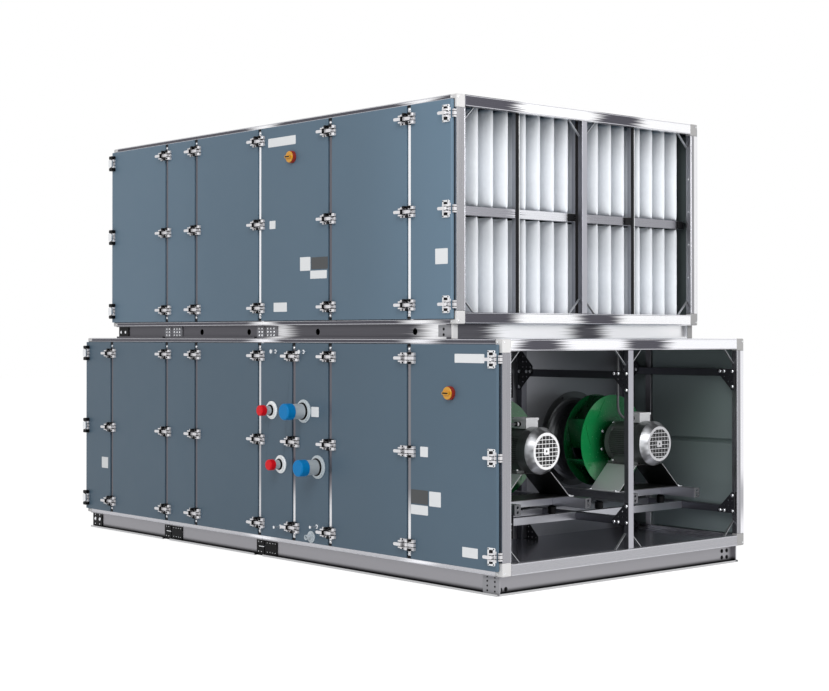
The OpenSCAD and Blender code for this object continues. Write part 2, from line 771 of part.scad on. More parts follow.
// Plain edge round the slots, and half the size of the plain field in their middle
slot_margin = 16;
plain_w = 24;
plain_h = 20;
face_rim = 4;
cowl_slope = 36;
cowl_bevel_r = 5;
cowl_bevel_l = 8;
shield_l = 30;
foot_w = 40;
foot_h = 18;
front_foot = 50;
leg_w = 20;
leg_top = -60;
leg_inset = 10;
// Cooling ribs: level on the motor's sides, upright above and below
module housing_ribs() {
    intersection() {
        circle(r = housing_r + rib_h);
        for (turn = [0, 90], i = [-rib_count / 2 : rib_count / 2]) rotate(turn)
            translate([i * rib_pitch - rib_t / 2, -cowl_r]) square([rib_t, 2 * cowl_r]);
    }
}
rib_pitch = 12;
rib_t = 4.5;
module cowl_slots() {
    for (row = [-7 : 7], col = [-6 : 6]) {
        x = col * slot_pitch;
        y = row * slot_row;
        if (norm([x, y]) < cowl_r - cowl_edge - slot_margin && max(abs(x) - plain_w, abs(y) - plain_h) > 0)
            translate([x - slot_w / 2, y - slot_h / 2]) square([slot_w, slot_h]);
    }
}
module motor() {
    face_r = cowl_r - cowl_edge;
    rotate([0, -90, 0]) {
        rotate_extrude() polygon([[0, slot_d], [face_r - face_rim, slot_d], [face_r - face_rim, 0],
            [face_r, 0], [cowl_r - cowl_bevel_r, cowl_slope], [cowl_r, cowl_slope + cowl_bevel_l],
            [cowl_r, cowl_l], [0, cowl_l]]);
        rotate([0, 0, 90]) linear_extrude(slot_d) difference() {
            circle(r = face_r - face_rim / 2);
            cowl_slots();
        }
        translate([0, 0, cowl_l]) linear_extrude(housing_l - shield_l) {
            circle(r = housing_r);
            housing_ribs();
        }
        translate([0, 0, cowl_l + housing_l - shield_l]) difference() {
            cylinder(r = housing_r + rib_h, h = shield_l);
            translate([0, 0, -1]) cylinder(r = shaft_r + shaft_play, h = shield_l + 2);
        }
    }
    back = -cowl_l - housing_l + feet_end;
    for (side = [0, 1]) mirror([0, side, 0]) {
        for (x = [-cowl_l - front_foot, back])
            box([x, motor_feet - foot_w, -shaft_height], [x + foot_w, motor_feet, foot_h - shaft_height]);
        box([back, motor_feet - foot_w - leg_w, -shaft_height],
            [-cowl_l - leg_inset, motor_feet - foot_w, leg_top]);
    }
}
module fan_motors() {
    color("gray") for (y = fan_axes) translate([lower_right - cowl_x, y, axis_z]) motor();
}

// Terminal boxes on the motors, each with a cable gland on its service side
terminal_back = 115;
terminal_x = cowl_end - terminal_back;
terminal_w = 112;
terminal_d = 96;
lid_h = 14;
lid_lap = 4;
terminal_z = axis_z + housing_r + rib_h;
terminal_h = 62;
gland_r = 13;
gland_l = 26;
gland_rise = 26;
gland_z = terminal_z + gland_rise;
module motor_terminal_boxes() {
    color("gainsboro") for (y = fan_axes) {
        box([terminal_x, y - terminal_d / 2, terminal_z],
            [terminal_x + terminal_w, y + terminal_d / 2, terminal_z + terminal_h - lid_h]);
        box([terminal_x - lid_lap, y - terminal_d / 2 - lid_lap, terminal_z + terminal_h - lid_h],
            [terminal_x + terminal_w + lid_lap, y + terminal_d / 2 + lid_lap, terminal_z + terminal_h]);
        translate([terminal_x + terminal_w / 2, y - terminal_d / 2 - gland_l, gland_z])
            rotate([-90, 0, 0]) cylinder(r = gland_r, h = gland_l);
    }
}

// Impeller, drawn about its axis, its back plate at 0 and its eye at +Z
hub_r = 58;
hub_l = 60;
shaft_in = 26;
rim_gap = 2;
tab_t = 3;
tab_inset = 10;
tab_edge = 24;
// A blade is a shallow arc from its inner edge to the rim, blade_sweep degrees further round
blade_in = 196;
blade_sweep = 41;
blade_bow = 8;
blade_a = [blade_in, 0];
blade_b = (wheel_r - rim_gap) * [cos(blade_sweep), sin(blade_sweep)];
blade_chord = blade_b - blade_a;
blade_r = (norm(blade_chord) ^ 2 / 4 + blade_bow ^ 2) / (2 * blade_bow);
blade_c = (blade_a + blade_b) / 2
    - [blade_chord[1], -blade_chord[0]] / norm(blade_chord) * (blade_r - blade_bow);
// Outlines of all blades between two radii
module blades(inner, outer) {
    intersection() {
        difference() {
            circle(r = outer);
            circle(r = inner);
        }
        for (i = [0 : blade_count - 1]) rotate(i * 360 / blade_count) intersection() {
            translate(blade_c) difference() {
                circle(r = blade_r);
                circle(r = blade_r - wheel_t);
            }
            translate([0, -blade_bow]) square(wheel_r);
        }
    }
}
// Curve of the front shroud from the rim to the eye, lowered by t
function shroud_curve(t) = [for (a = [0 : 15 : 90])
    [wheel_r - (wheel_r - eye_r) * sin(a), wheel_w + shroud_d * (1 - cos(a)) - t]];
module impeller() {
    rotate([0, -90, 0]) {
        cylinder(r = wheel_r, h = wheel_t);
        cylinder(r = hub_r, h = hub_l);
        translate([0, 0, wheel_back - motor_end - shaft_in])
            cylinder(r = shaft_r, h = motor_end - wheel_back + shaft_in + wheel_t);
        rotate_extrude() polygon(concat(shroud_curve(0),
            [for (i = [6 : -1 : 0]) shroud_curve(wheel_t)[i]]));
        intersection() {
            linear_extrude(wheel_w + shroud_d) blades(blade_in, wheel_r - rim_gap);
            rotate_extrude() polygon(concat([[0, 0], [wheel_r, 0]], shroud_curve(wheel_t / 2),
                [[0, wheel_w + shroud_d - wheel_t / 2]]));
        }
        translate([0, 0, -tab_t]) linear_extrude(tab_t + 1) blades(blade_in + tab_inset, wheel_r - tab_edge);
    }
}
module fan_1_impeller() { color("seagreen") translate([wheel_back, fan_axes[0], axis_z]) impeller(); }
module fan_2_impeller() { color("seagreen") translate([wheel_back, fan_axes[1], axis_z]) impeller(); }

// Motor cables: from the roof down to the terminal boxes, as a tube along hand-picked points
// measured from the middle of the gland's mouth
cable_r = 8;
cable_route = [[0, 0, 0], [0, -25, 0], [0, -50, 4], [0, -75, 16], [0, -96, 36], [0, -108, 62],
    [0, -112, 92], [0, -112, 140], [0, -112, 200], [0, -112, 260], [0, -112, 320]];
cable_sides = 8;
function cable_points(y) = concat(
    [for (p = cable_route) [terminal_x + terminal_w / 2, y - terminal_d / 2 - gland_l, gland_z] + p],
    [[terminal_x + terminal_w / 2, y - terminal_d / 2 - gland_l + last(cable_route)[1], roof_under]]);
// Rings of a tube along a list of points that lie in one plane across X
function ring(points, i) =
    let (a = points[max(i - 1, 0)], b = points[min(i + 1, len(points) - 1)],
         t = (b - a) / norm(b - a), n = cross([1, 0, 0], t))
    [for (s = [0 : cable_sides - 1])
        points[i] + cable_r * (cos(s * 360 / cable_sides) * [1, 0, 0] + sin(s * 360 / cable_sides) * n)];
module tube(points) {
    n = len(points);
    polyhedron(
        points = [for (i = [0 : n - 1]) each ring(points, i)],
        faces = concat(
            [[for (s = [cable_sides - 1 : -1 : 0]) s]],
            [for (i = [0 : n - 2], s = [0 : cable_sides - 1])
                let (a = i * cable_sides, q = (s + 1) % cable_sides)
                [a + s, a + q, a + cable_sides + q, a + cable_sides + s]],
            [[for (s = [0 : cable_sides - 1]) (n - 1) * cable_sides + s]]));
}
module motor_cable_1() { color("gray") tube(cable_points(fan_axes[0])); }
module motor_cable_2() { color("gray") tube(cable_points(fan_axes[1])); }

// Filter bank in the open end of the upper tier: four columns of two rows
columns = 4;
filter_front = upper_right - filter_x;
cell_w = (unit_d - 2 * bar_t) / columns;
filter_floor = upper_z + deck_t;
filter_roof = upper_z + tier_h - deck_t;
row_h = (filter_roof - filter_floor - filter_rail_h) / 2;
row_zs = [filter_floor, filter_roof - row_h];
filter_bar_t = 30;
header_t = 25;
pockets = 4;
pocket_clear = 3;
mouth_edge = 40;
tip_l = 30;
tip_round = 8;
header_x = filter_front - pocket_l;

// Rail between the two rows, and the bars between the cells of each row
module filter_rail() {
    color("lightgray") box([filter_front - filter_bar_t, inner_front, filter_floor + row_h],
                           [filter_front, inner_back, filter_floor + row_h + filter_rail_h]);
}
module filter_dividers() {
    color("lightgray") for (c = [1 : columns - 1], z = row_zs)
        box([filter_front - filter_bar_t, inner_front + c * cell_w - filter_bar_w / 2, z],
            [filter_front, inner_front + c * cell_w + filter_bar_w / 2, z + row_h]);
}
// Header plates that hold the pockets, with an open mouth for each pocket
pocket_pitch = (cell_w - filter_bar_w - 2 * pocket_clear) / pockets;
function pocket_y(c, p) =
    inner_front + c * cell_w + filter_bar_w / 2 + pocket_clear + (p + 0.5) * pocket_pitch;
module filter_headers() {
    w = cell_w - section_gap;
    color("white") for (c = [0 : columns - 1], z = row_zs)
        difference() {
            box([header_x - header_t, inner_front + c * cell_w + section_gap / 2, z],
                [header_x, inner_front + c * cell_w + section_gap / 2 + w, z + row_h]);
            for (p = [0 : pockets - 1])
                box([header_x - header_t - 1, pocket_y(c, p) - pocket_tip / 2, z + mouth_edge],
                    [header_x + 1, pocket_y(c, p) + pocket_tip / 2, z + row_h - mouth_edge]);
        }
}
// Wedge-shaped filter pockets, widest at the header
module filter_pockets() {
    w = pocket_pitch - pocket_gap;
    color("white") for (c = [0 : columns - 1], z = row_zs, p = [0 : pockets - 1])
        translate([header_x, pocket_y(c, p), z + pocket_clear])
            linear_extrude(row_h - 2 * pocket_clear) polygon([[0, -w / 2],
                [pocket_l - tip_l, -pocket_tip / 2 - tip_round], [pocket_l - tip_round, -pocket_tip / 4],
                [pocket_l - tip_round, pocket_tip / 4], [pocket_l - tip_l, pocket_tip / 2 + tip_round],
                [0, w / 2]]);
}

// Coil connections: places along X from the open end and over the bottom of the lower tier
heat_places = [[2075, 835], [1979, 497]];
cool_places = [[1740, 840], [1598, 502]];
heat_collar = 57;
cool_collar = 72;
collar_t = 14;
collar_lip = 5;
collar_step = 8;
heat_cap_t = 6;
cool_cap_t = 4;
heat_cap_l = 40;
cool_cap_l = 60;
cap_wall = 3;
cap_bend = 10;
function place(p) = [lower_right - p[0], panel_face, lower_z + p[1]];

// A cylinder from a point on the panel face, along -Y, between two distances
module stub(p, r, from, to) {
    translate(place(p) - [0, from, 0]) rotate([90, 0, 0]) cylinder(r = r, h = to - from);
}
module pipe_holes() {
    for (p = heat_places) stub(p, heat_r, -skin_t - core_t - 1, 1);
    for (p = cool_places) stub(p, cool_r, -skin_t - core_t - 1, 1);
}
module pipes(places, r, reach) {
    for (p = places) difference() {
        stub(p, r, -skin_t - core_t, reach - cap_wall);
        stub(p, r - cap_wall, -skin_t, reach);
    }
}
// Push-on cap: a cup of the given wall over the pipe's end, with a round front edge
module caps(places, r, wall, l, reach) {
    edge = r + wall - cap_bend;
    for (p = places) translate(place(p) - [0, reach, 0]) rotate([-90, 0, 0]) difference() {
        rotate_extrude() polygon(concat([[0, 0]],
            [for (a = [0 : 15 : 90]) [edge + cap_bend * sin(a), cap_bend * (1 - cos(a))]],
            [[r + wall, l], [0, l]]));
        translate([0, 0, cap_wall]) cylinder(r = r, h = l);
    }
}
module heating_pipes() { color("dimgray") pipes(heat_places, heat_r, heat_reach); }
module heating_caps() { color("red") caps(heat_places, heat_r, heat_cap_t, heat_cap_l, heat_reach); }
module cooling_pipes() { color("dimgray") pipes(cool_places, cool_r, cool_reach); }
module cooling_caps() { color("royalblue") caps(cool_places, cool_r, cool_cap_t, cool_cap_l, cool_reach); }
module collar(p, r, outer) {
    difference() {
        union() {
            stub(p, outer, 0, collar_lip);
            stub(p, outer - collar_step, collar_lip, collar_t);
        }
        stub(p, r, -1, collar_t + 1);
    }
}
module pipe_collars() {
    color("darkgray") {
        for (p = heat_places) collar(p, heat_r, heat_collar);
        for (p = cool_places) collar(p, cool_r, cool_collar);
    }
}

// Condensate drain: a stepped wall flange and an open pipe stub
drain_place = [1661, 68];
drain_flange = 36;
drain_step = 26;
drain_r = 16;
drain_bore = 12;
drain_out = 46;
drain_lip = 6;
drain_floor = 2;
module drain_trap() {
    color("darkgray") difference() {
        union() {
            stub(drain_place, drain_flange, 0, drain_lip);
            stub(drain_place, drain_step, drain_lip, 2 * drain_lip);
            stub(drain_place, drain_r, 2 * drain_lip, drain_out);
        }
        stub(drain_place, drain_bore, 2 * drain_lip - drain_floor, drain_out + 1);
    }
}

// Air vents above the coils and drain cocks below them: a nut on the wall, a stem and a round head
vent_drop = 82;
vent_places = [for (x = [2031, 1738]) [x, tier_h - vent_drop]];
vent_out = 42;
cock_places = [[1977, 104], [1603, 137]];
cock_out = 58;
vent_head = 13;
cock_head = 9;
head_l = 12;
nut_r = 14;
nut_t = 6;
stem_r = 7;
module small_tap(p, out, head) {
    stub(p, nut_r, 0, nut_t, $fn = 6);
    stub(p, stem_r, nut_t, out - head_l);
    stub(p, head, out - head_l, out);
}
module air_vents() {
    color("silver") {
        for (p = vent_places) small_tap(p, vent_out, vent_head);
        for (p = cock_places) small_tap(p, cock_out, cock_head);
    }
}

// Isolator switches: a fixed round housing and a turning knob on a spindle
lower_switch = [390, 988];
upper_switch = [1859, 2427];
switch_t = 22;
knob_r = 27;
knob_t = 20;
spindle_r = 6;
spindle_play = 0.08;
spindle_l = 12;
knob_gap = 1;
switch_lip = 6;
switch_step = 4;
knob_floor = 5;
grip_half = 8;
module switch_base(p) {
    difference() {
        union() {
            stub(p, switch_r, 0, switch_t - switch_lip);
            stub(p, switch_r - switch_step, switch_t - switch_lip, switch_t);
        }
        stub(p, spindle_r + spindle_play, switch_t - spindle_l - 1, switch_t + 1);
    }
}
module switch_knob(p) {
    stub(p, spindle_r, switch_t - spindle_l, switch_t + knob_gap);
    difference() {
        stub(p, knob_r, switch_t + knob_gap, switch_t + knob_gap + knob_t);
        for (side = [-1, 1])
            translate(place(p)
                - [0, switch_t + knob_gap + knob_t / 2 + knob_floor, side * (knob_r / 2 + grip_half)])
                cube([2 * knob_r + 2, knob_t, knob_r], center = true);
    }
}
module lower_switch_base() { color("firebrick") switch_base(lower_switch); }
module lower_switch_knob() { color("orange") switch_knob(lower_switch); }
module upper_switch_base() { color("firebrick") switch_base(upper_switch); }
module upper_switch_knob() { color("orange") switch_knob(upper_switch); }

lower_base_beams();
lower_base_crossbars();
middle_base_beams();
middle_base_crossbars();
base_brackets();
lower_frame();
upper_frame();
corner_pieces();
lower_posts();
upper_posts();
bay_posts();
corner_braces();
floor_panels();
roof_panels();
rear_panels();
end_panels();
lower_service_panels();
upper_service_panels();
lower_clamps();
upper_clamps();
fan_door();
fan_door_fittings();
fan_door_brackets();
fan_wall();
fan_wall_posts();
inlet_cones();
fan_bay_bars();
gusset_plates();
support_bars();
vibration_mounts();
fan_frame_channels();
fan_frame_crossbars();
motor_pedestals();
fan_motors();
motor_terminal_boxes();
fan_1_impeller();
fan_2_impeller();
motor_cable_1();
motor_cable_2();
filter_rail();
filter_dividers();
filter_headers();
filter_pockets();
heating_pipes();
heating_caps();
cooling_pipes();
cooling_caps();
pipe_collars();
drain_trap();
air_vents();
lower_switch_base();
lower_switch_knob();
upper_switch_base();
upper_switch_knob();
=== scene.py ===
"""Looks of a two-tier air handling unit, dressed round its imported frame.

Every size is in metres, in the frame's own axes: X runs along the unit towards its open ends,
the service side faces -Y and Z is up.
"""

import logging
from dataclasses import dataclass, field
from enum import Enum
from math import pi, radians
from typing import Any, Callable

import bmesh
import bpy
import numpy as np
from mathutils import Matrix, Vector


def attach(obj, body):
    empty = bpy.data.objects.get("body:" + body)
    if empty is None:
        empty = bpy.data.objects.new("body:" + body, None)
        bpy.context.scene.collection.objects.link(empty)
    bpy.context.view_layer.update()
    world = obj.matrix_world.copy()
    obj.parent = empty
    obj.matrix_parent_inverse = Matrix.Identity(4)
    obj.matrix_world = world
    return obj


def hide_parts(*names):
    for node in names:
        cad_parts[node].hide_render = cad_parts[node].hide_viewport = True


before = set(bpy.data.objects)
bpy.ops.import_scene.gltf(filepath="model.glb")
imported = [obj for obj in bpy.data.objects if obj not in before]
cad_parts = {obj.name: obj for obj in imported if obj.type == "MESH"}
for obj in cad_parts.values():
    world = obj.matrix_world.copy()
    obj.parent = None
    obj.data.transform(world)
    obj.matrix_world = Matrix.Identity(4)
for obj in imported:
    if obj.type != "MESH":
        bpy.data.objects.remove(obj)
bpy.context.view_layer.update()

LOG = logging.getLogger("air_handling_unit")

Array = np.ndarray
Colour = tuple[float, float, float, float]
Span = tuple[float, float]
Spans = tuple[Span, ...]

# Axes of the two fans: their Y, and their common height
FAN_AXES = (-0.414, 0.574)
FAN_HEIGHT = 0.756


def srgb(red: float, green: float, blue: float) -> Colour:
    """Linear colour of an 8-bit screen colour.

    Args:
        red, green, blue: Screen values from 0 to 255.

    Returns:
        Red, green, blue and alpha from 0 to 1, by the screen's transfer curve.
    """
    screen = np.array([red, green, blue]) / 255.0
    linear = np.where(screen <= 0.04045, screen / 12.92, ((screen + 0.055) / 1.055) ** 2.4)
    return (*linear.tolist(), 1.0)


def dimmed(colour: Colour, share: float) -> Colour:
    """A colour, share times as bright."""
    return (*(share * channel for channel in colour[:3]), 1.0)


# Shader arithmetic


def operator(operation: str, reflected: bool = False) -> Callable[["Value", Any], "Value"]:
    """An operator of Value.

    Args:
        operation: Math node's operation.
        reflected: Whether the other term comes first.

    Returns:
        A method that takes the other term and adds the node.
    """
    def apply(self: "Value", other: Any) -> "Value":
        """This value and another as the terms of one Math node."""
        return self.math(operation, *((other, self) if reflected else (self, other)))
    return apply


class Value:
    """A shader socket that takes part in Python arithmetic, one Math node for each step.

    Comparisons give one where they hold, else zero.
    """

    __add__ = __radd__ = operator("ADD")
    __sub__, __rsub__ = operator("SUBTRACT"), operator("SUBTRACT", reflected=True)
    __mul__ = __rmul__ = operator("MULTIPLY")
    __truediv__ = operator("DIVIDE")
    __gt__, __lt__ = operator("GREATER_THAN"), operator("LESS_THAN")
    least = operator("MINIMUM")

    def __init__(self, graph: "Graph", socket: Any) -> None:
        """Keep the socket and the graph that it belongs to."""
        self.graph = graph
        self.socket = socket

    def math(self, operation: str, *terms: Any) -> "Value":
        """Add a Math node on these terms."""
        return self.graph.node("ShaderNodeMath", {"operation": operation}, dict(enumerate(terms)))

    def __abs__(self) -> "Value":
        """This value without its sign."""
        return self.math("ABSOLUTE", self)

    def fold(self, pitch: float) -> "Value":
        """Distance from the nearest multiple of the pitch."""
        return self.math("PINGPONG", self, pitch / 2)

    def ease(self, low: float, high: float) -> "Value":
        """Smooth step from 0 at low to 1 at high."""
        return self.graph.node(
            "ShaderNodeMapRange",
            {"interpolation_type": "SMOOTHSTEP", "clamp": True},
            {"Value": self, "From Min": low, "From Max": high},
        )


class Graph:
    """Adds nodes to one node tree and hands their outputs back as values."""

    def __init__(self, tree: bpy.types.NodeTree) -> None:
        """Empty the tree, so that only nodes added here are in it."""
        self.tree = tree
        tree.nodes.clear()

    def node(self, kind: str, settings: dict | None = None, inputs: dict | None = None,
             output: int | str = 0) -> Value | None:
        """Add one node.

        Args:
            kind: Blender's type of the node.
            settings: Properties that are set first.
            inputs: Values or links of its sockets, by name or number.
            output: Name or number of the output that is handed back.

        Returns:
            The output, or None for a node that has none.
        """
        made = self.tree.nodes.new(kind)
        for key, value in (settings or {}).items():
            setattr(made, key, value)
        for key, value in (inputs or {}).items():
            if isinstance(value, Value):
                self.tree.links.new(value.socket, made.inputs[key])
            else:
                made.inputs[key].default_value = value
        return Value(self, made.outputs[output]) if len(made.outputs) else None

    def place(self) -> Value:
        """The point on the piece, in the frame's axes."""
        return self.node("ShaderNodeTexCoord", output="Object")

    def axes(self) -> tuple[Value, Value, Value]:
        """The point's X, Y and Z."""
        point = self.place()
        return tuple(
            self.node("ShaderNodeSeparateXYZ", inputs={0: point}, output=axis) for axis in range(3))

    def vector(self, x: Any, y: Any, z: Any) -> Value:
        """A vector from three values."""
        return self.node("ShaderNodeCombineXYZ", inputs={0: x, 1: y, 2: z})

    def noise(self, scale: float, at: Value | None = None, detail: float = 2.0) -> Value:
        """Cloudy noise, with scale patches to the metre."""
        return self.node("ShaderNodeTexNoise", inputs={
            "Vector": at or self.place(), "Scale": scale, "Detail": detail}, output="Fac")

    def cells(self, scale: float) -> Value:
        """One grey for each crystal-shaped cell, with scale cells to the metre."""
        tint = self.node("ShaderNodeTexVoronoi", inputs={
            "Vector": self.place(), "Scale": scale}, output="Color")
        return self.node("ShaderNodeSeparateColor", inputs={0: tint})

    def mix(self, share: Any, first: Any, second: Any) -> Value:
        """Colour from first to second as share goes from 0 to 1."""
        return self.node("ShaderNodeMix", {"data_type": "RGBA"},
                         {0: share, 6: first, 7: second}, output=2)

    def window(self, at: Value, spans: Spans, soft: float) -> Any:
        """One inside any of the spans, with edges that reach soft metres to either side."""
        return sum(at.ease(low - soft, low + soft) * (1 - at.ease(high - soft, high + soft))
                   for low, high in spans)

    def nearest(self, at: Value, places: tuple[float, ...]) -> Value:
        """Distance from the nearest of the places."""
        gap = abs(at - places[0])
        for place in places[1:]:
            gap = gap.least(abs(at - place))
        return gap

    def scale(self, colour: Any, factor: Value) -> Value:
        """A colour, factor times as bright."""
        return self.node("ShaderNodeVectorMath", {"operation": "SCALE"},
                         {0: colour, "Scale": factor}, output="Vector")

    def reach(self, x: Any, y: Any, z: Any) -> Value:
        """Length of a vector."""
        return self.node("ShaderNodeVectorMath", {"operation": "LENGTH"},
                         {0: self.vector(x, y, z)}, output="Value")

    def bump(self, height: Value, distance: float, strength: float = 1.0) -> Value:
        """Normal of a surface with this height, distance metres from 0 to 1."""
        return self.node("ShaderNodeBump", inputs={
            "Strength": strength, "Distance": distance, "Height": height}, output="Normal")

    def surface(self, sockets: dict[str, Any]) -> None:
        """End the material in one surface shader with these sockets."""
        shader = self.node("ShaderNodeBsdfPrincipled", inputs=sockets)
        self.node("ShaderNodeOutputMaterial", inputs={"Surface": shader})


# Finishes


@dataclass(frozen=True)
class Finish:
    """A finish: its name, main colour, material slot, and how it fills a shader's sockets."""

    name: str
    colour: Colour
    specular: float = 0.5
    slot: str = ""

    def sockets(self, graph: Graph) -> dict[str, Any]:
        """Values and links of the surface shader's sockets."""
        raise NotImplementedError

    def material(self) -> bpy.types.Material:
        """The material of this finish, made on its first use."""
        name = f"{self.name}_finish"
        made = bpy.data.materials.get(name)
        if made is None:
            made = bpy.data.materials.new(name)
            made.use_nodes = True
            graph = Graph(made.node_tree)
            graph.surface(self.sockets(graph) | {"Specular IOR Level": self.specular})
        return made

    def shade(self, share: float) -> Colour:
        """The main colour, share times as bright."""
        return dimmed(self.colour, share)


@dataclass(frozen=True)
class Coating(Finish):
    """Even coat of paint or moulded plastic: a faint cloud of tone over a fine orange peel."""

    roughness: float = 0.4
    metallic: float = 0.0
    cloud: float = 0.08
    cloud_scale: float = 3.0
    grain_scale: float = 500.0
    grain_depth: float = 0.00006
    coat: float = 0.0

    def sockets(self, graph: Graph) -> dict[str, Any]:
        """Cloudy colour and roughness over a fine grain."""
        drift = graph.noise(self.cloud_scale, detail=4.0)
        grain = graph.noise(self.grain_scale, detail=1.0)
        return {
            "Base Color": graph.mix(drift, self.shade(1 - self.cloud), self.shade(1 + self.cloud)),
            "Roughness": self.roughness * (0.85 + 0.3 * graph.noise(11 * self.cloud_scale)),
            "Metallic": self.metallic,
            "Coat Weight": self.coat,
            "Normal": graph.bump(grain, self.grain_depth),
        }


@dataclass(frozen=True)
class Zinc(Finish):
    """Hot-dip zinc: crystal spangle with a soft cloud and roll streaks along one axis.

    Faces past end_x are darker, by end_share.
    """

    roughness: float = 0.36
    spangle: float = 34.0
    contrast: float = 0.16
    roll: tuple[float, float, float] = (1.5, 90.0, 90.0)
    end_x: float = 9.0
    end_share: float = 0.4

    def sockets(self, graph: Graph) -> dict[str, Any]:
        """Spangle and streaks in colour, roughness and a shallow relief."""
        x, y, z = graph.axes()
        streak = graph.noise(1.0, graph.vector(*(a * k for a, k in zip((x, y, z), self.roll))))
        crystal, cloud = graph.cells(self.spangle), graph.noise(2.0, detail=3.0)
        tone = 0.5 * crystal + 0.25 * cloud + 0.25 * streak
        metal = graph.mix(tone, self.shade(1 - self.contrast), self.shade(1 + self.contrast))
        return {
            "Base Color": graph.scale(metal, 1 - (1 - self.end_share) * (x > self.end_x)),
            "Roughness": self.roughness + self.contrast * (crystal - 0.5) + 0.06 * (streak - 0.5),
            "Metallic": 0.9,
            "Normal": graph.bump(streak, 0.0001, self.contrast),
        }


class Side(Enum):
    """Side of a panel that faces into the casing, as axis number and sign."""

    FRONT = (1, 1.0)
    REAR = (1, -1.0)
    ROOF = (2, -1.0)


@dataclass(frozen=True)
class PanelPaint(Coating):
    """Painted outer sheet with a bare zinc lining past one plane.

    The paint has a painted highlight towards both ends of the unit, by a gain and by one more above
    split_z, and painted shade below split_z. Above split_z the lining is darker, as painted shade.
    """

    lining: Colour = (0.30, 0.365, 0.37, 1.0)
    side: Side = Side.FRONT
    plane: float = -0.9695
    split_z: float = 1.44
    low_shade_tone: float = 0.78
    left_fade: Span = (-1.9, 0.1)
    left_highlight: Span = (0.09, 0.17)
    right_fade: Span = (0.9, 1.9)
    right_highlight: Span = (0.07, 0.25)
    lining_shade: float = 0.62

    def sockets(self, graph: Graph) -> dict[str, Any]:
        """Paint, and cloudy zinc where the point lies inwards of the plane."""
        axis, sign = self.side.value
        x, y, z = graph.axes()
        inside = (sign * (x, y, z)[axis]) > (sign * self.plane)
        paint = super().sockets(graph)
        # Painted highlight towards both ends, and painted shade on the lower tier and on the upper
        # lining
        left, right = 1 - x.ease(*self.left_fade), x.ease(*self.right_fade)
        top = z > self.split_z
        tone = self.low_shade_tone + (1 - self.low_shade_tone) * top
        for share, (gain, more) in ((left, self.left_highlight), (right, self.right_highlight)):
            tone = tone + (gain + more * top) * share
        drift = graph.noise(1.1, detail=3.0)
        zinc = graph.scale(graph.mix(drift, dimmed(self.lining, 0.8), self.lining),
                           1 - self.lining_shade * top)
        rough = 0.3 + 0.1 * drift
        return paint | {
            "Base Color": graph.mix(inside, graph.scale(paint["Base Color"], tone), zinc),
            "Metallic": 0.45 * inside,
            "Roughness": paint["Roughness"] * (1 - inside) + rough * inside,
        }


@dataclass(frozen=True)
class DrawnBar(Finish):
    """Drawn profile: dark satin with painted highlights that fade out in streaks along each bar.

    Bars past end_x frame the tier's ends, bars between post_low and post_high are posts, and the
    rest are rails along X. Rails carry painted highlights in set stretches, and a weaker one all
    along below split_z. End bars are bright but for bands of painted dark reflection, which differ
    above and below split_z, and below it they are painted darker, as shade. Posts get painted dark
    bands of shade and a painted highlight on the far side.
    """

    dark: Colour = (0.085, 0.083, 0.1, 1.0)
    end_x: float = 9.0
    split_z: float = 9.0
    post_low: float = 9.0
    post_high: float = 10.0
    rail_highlights: Spans = ()
    low_rail_highlight: float = 0.0
    top_dark_reflections: Spans = ()
    low_dark_reflections: Spans = ()
    low_shade_tone: float = 1.0
    post_tone: float = 0.27
    far_y: float = 1.098
    post_shade_bands: Spans = ()
    feather: float = 0.36
    rail_soft: float = 0.1
    end_soft: float = 0.07
    post_soft: float = 0.09
    seed: float = 0.0

    def sockets(self, graph: Graph) -> dict[str, Any]:
        """Tone by bar and place along it, feathered by quick noise across it."""
        x, y, z = graph.axes()
        post = (z > self.post_low) * (z < self.post_high)
        end = (abs(x) > self.end_x) * (1 - post)
        rail = 1 - post - end
        run = post * z + end * y + rail * x
        across = x + y + z - run
        fine = across * (190.0 - 150.0 * post)
        streak = graph.noise(1.0, graph.vector(run * 1.6, fine, self.seed), detail=3.0)
        feather = self.feather * (streak - 0.5)
        top = z > self.split_z
        # Painted highlights on the rails, painted dark reflections and shade on the end bars,
        # painted shade and highlight on the posts
        spot = graph.window(x + feather, self.rail_highlights, self.rail_soft)
        on_rail = spot + self.low_rail_highlight * (1 - top) * (1 - spot)
        dim = (top * graph.window(y + feather, self.top_dark_reflections, self.end_soft)
               + (1 - top) * graph.window(y + feather, self.low_dark_reflections, self.end_soft))
        on_end = (top + self.low_shade_tone * (1 - top)) * (1 - dim)
        post_shade = 0.8 * graph.window(z, self.post_shade_bands, self.post_soft)
        far_post_highlight = (y > self.far_y) * (1 - post_shade)
        on_post = self.post_tone + 0.05 * (streak - 0.5) + 0.6 * far_post_highlight
        return {
            "Base Color": graph.mix(
                rail * on_rail + end * on_end + post * on_post, self.dark, self.colour),
            "Roughness": 0.22 + 0.1 * streak,
            "Metallic": 0.92,
            "Normal": graph.bump(streak, 0.00003, 0.2),
        }


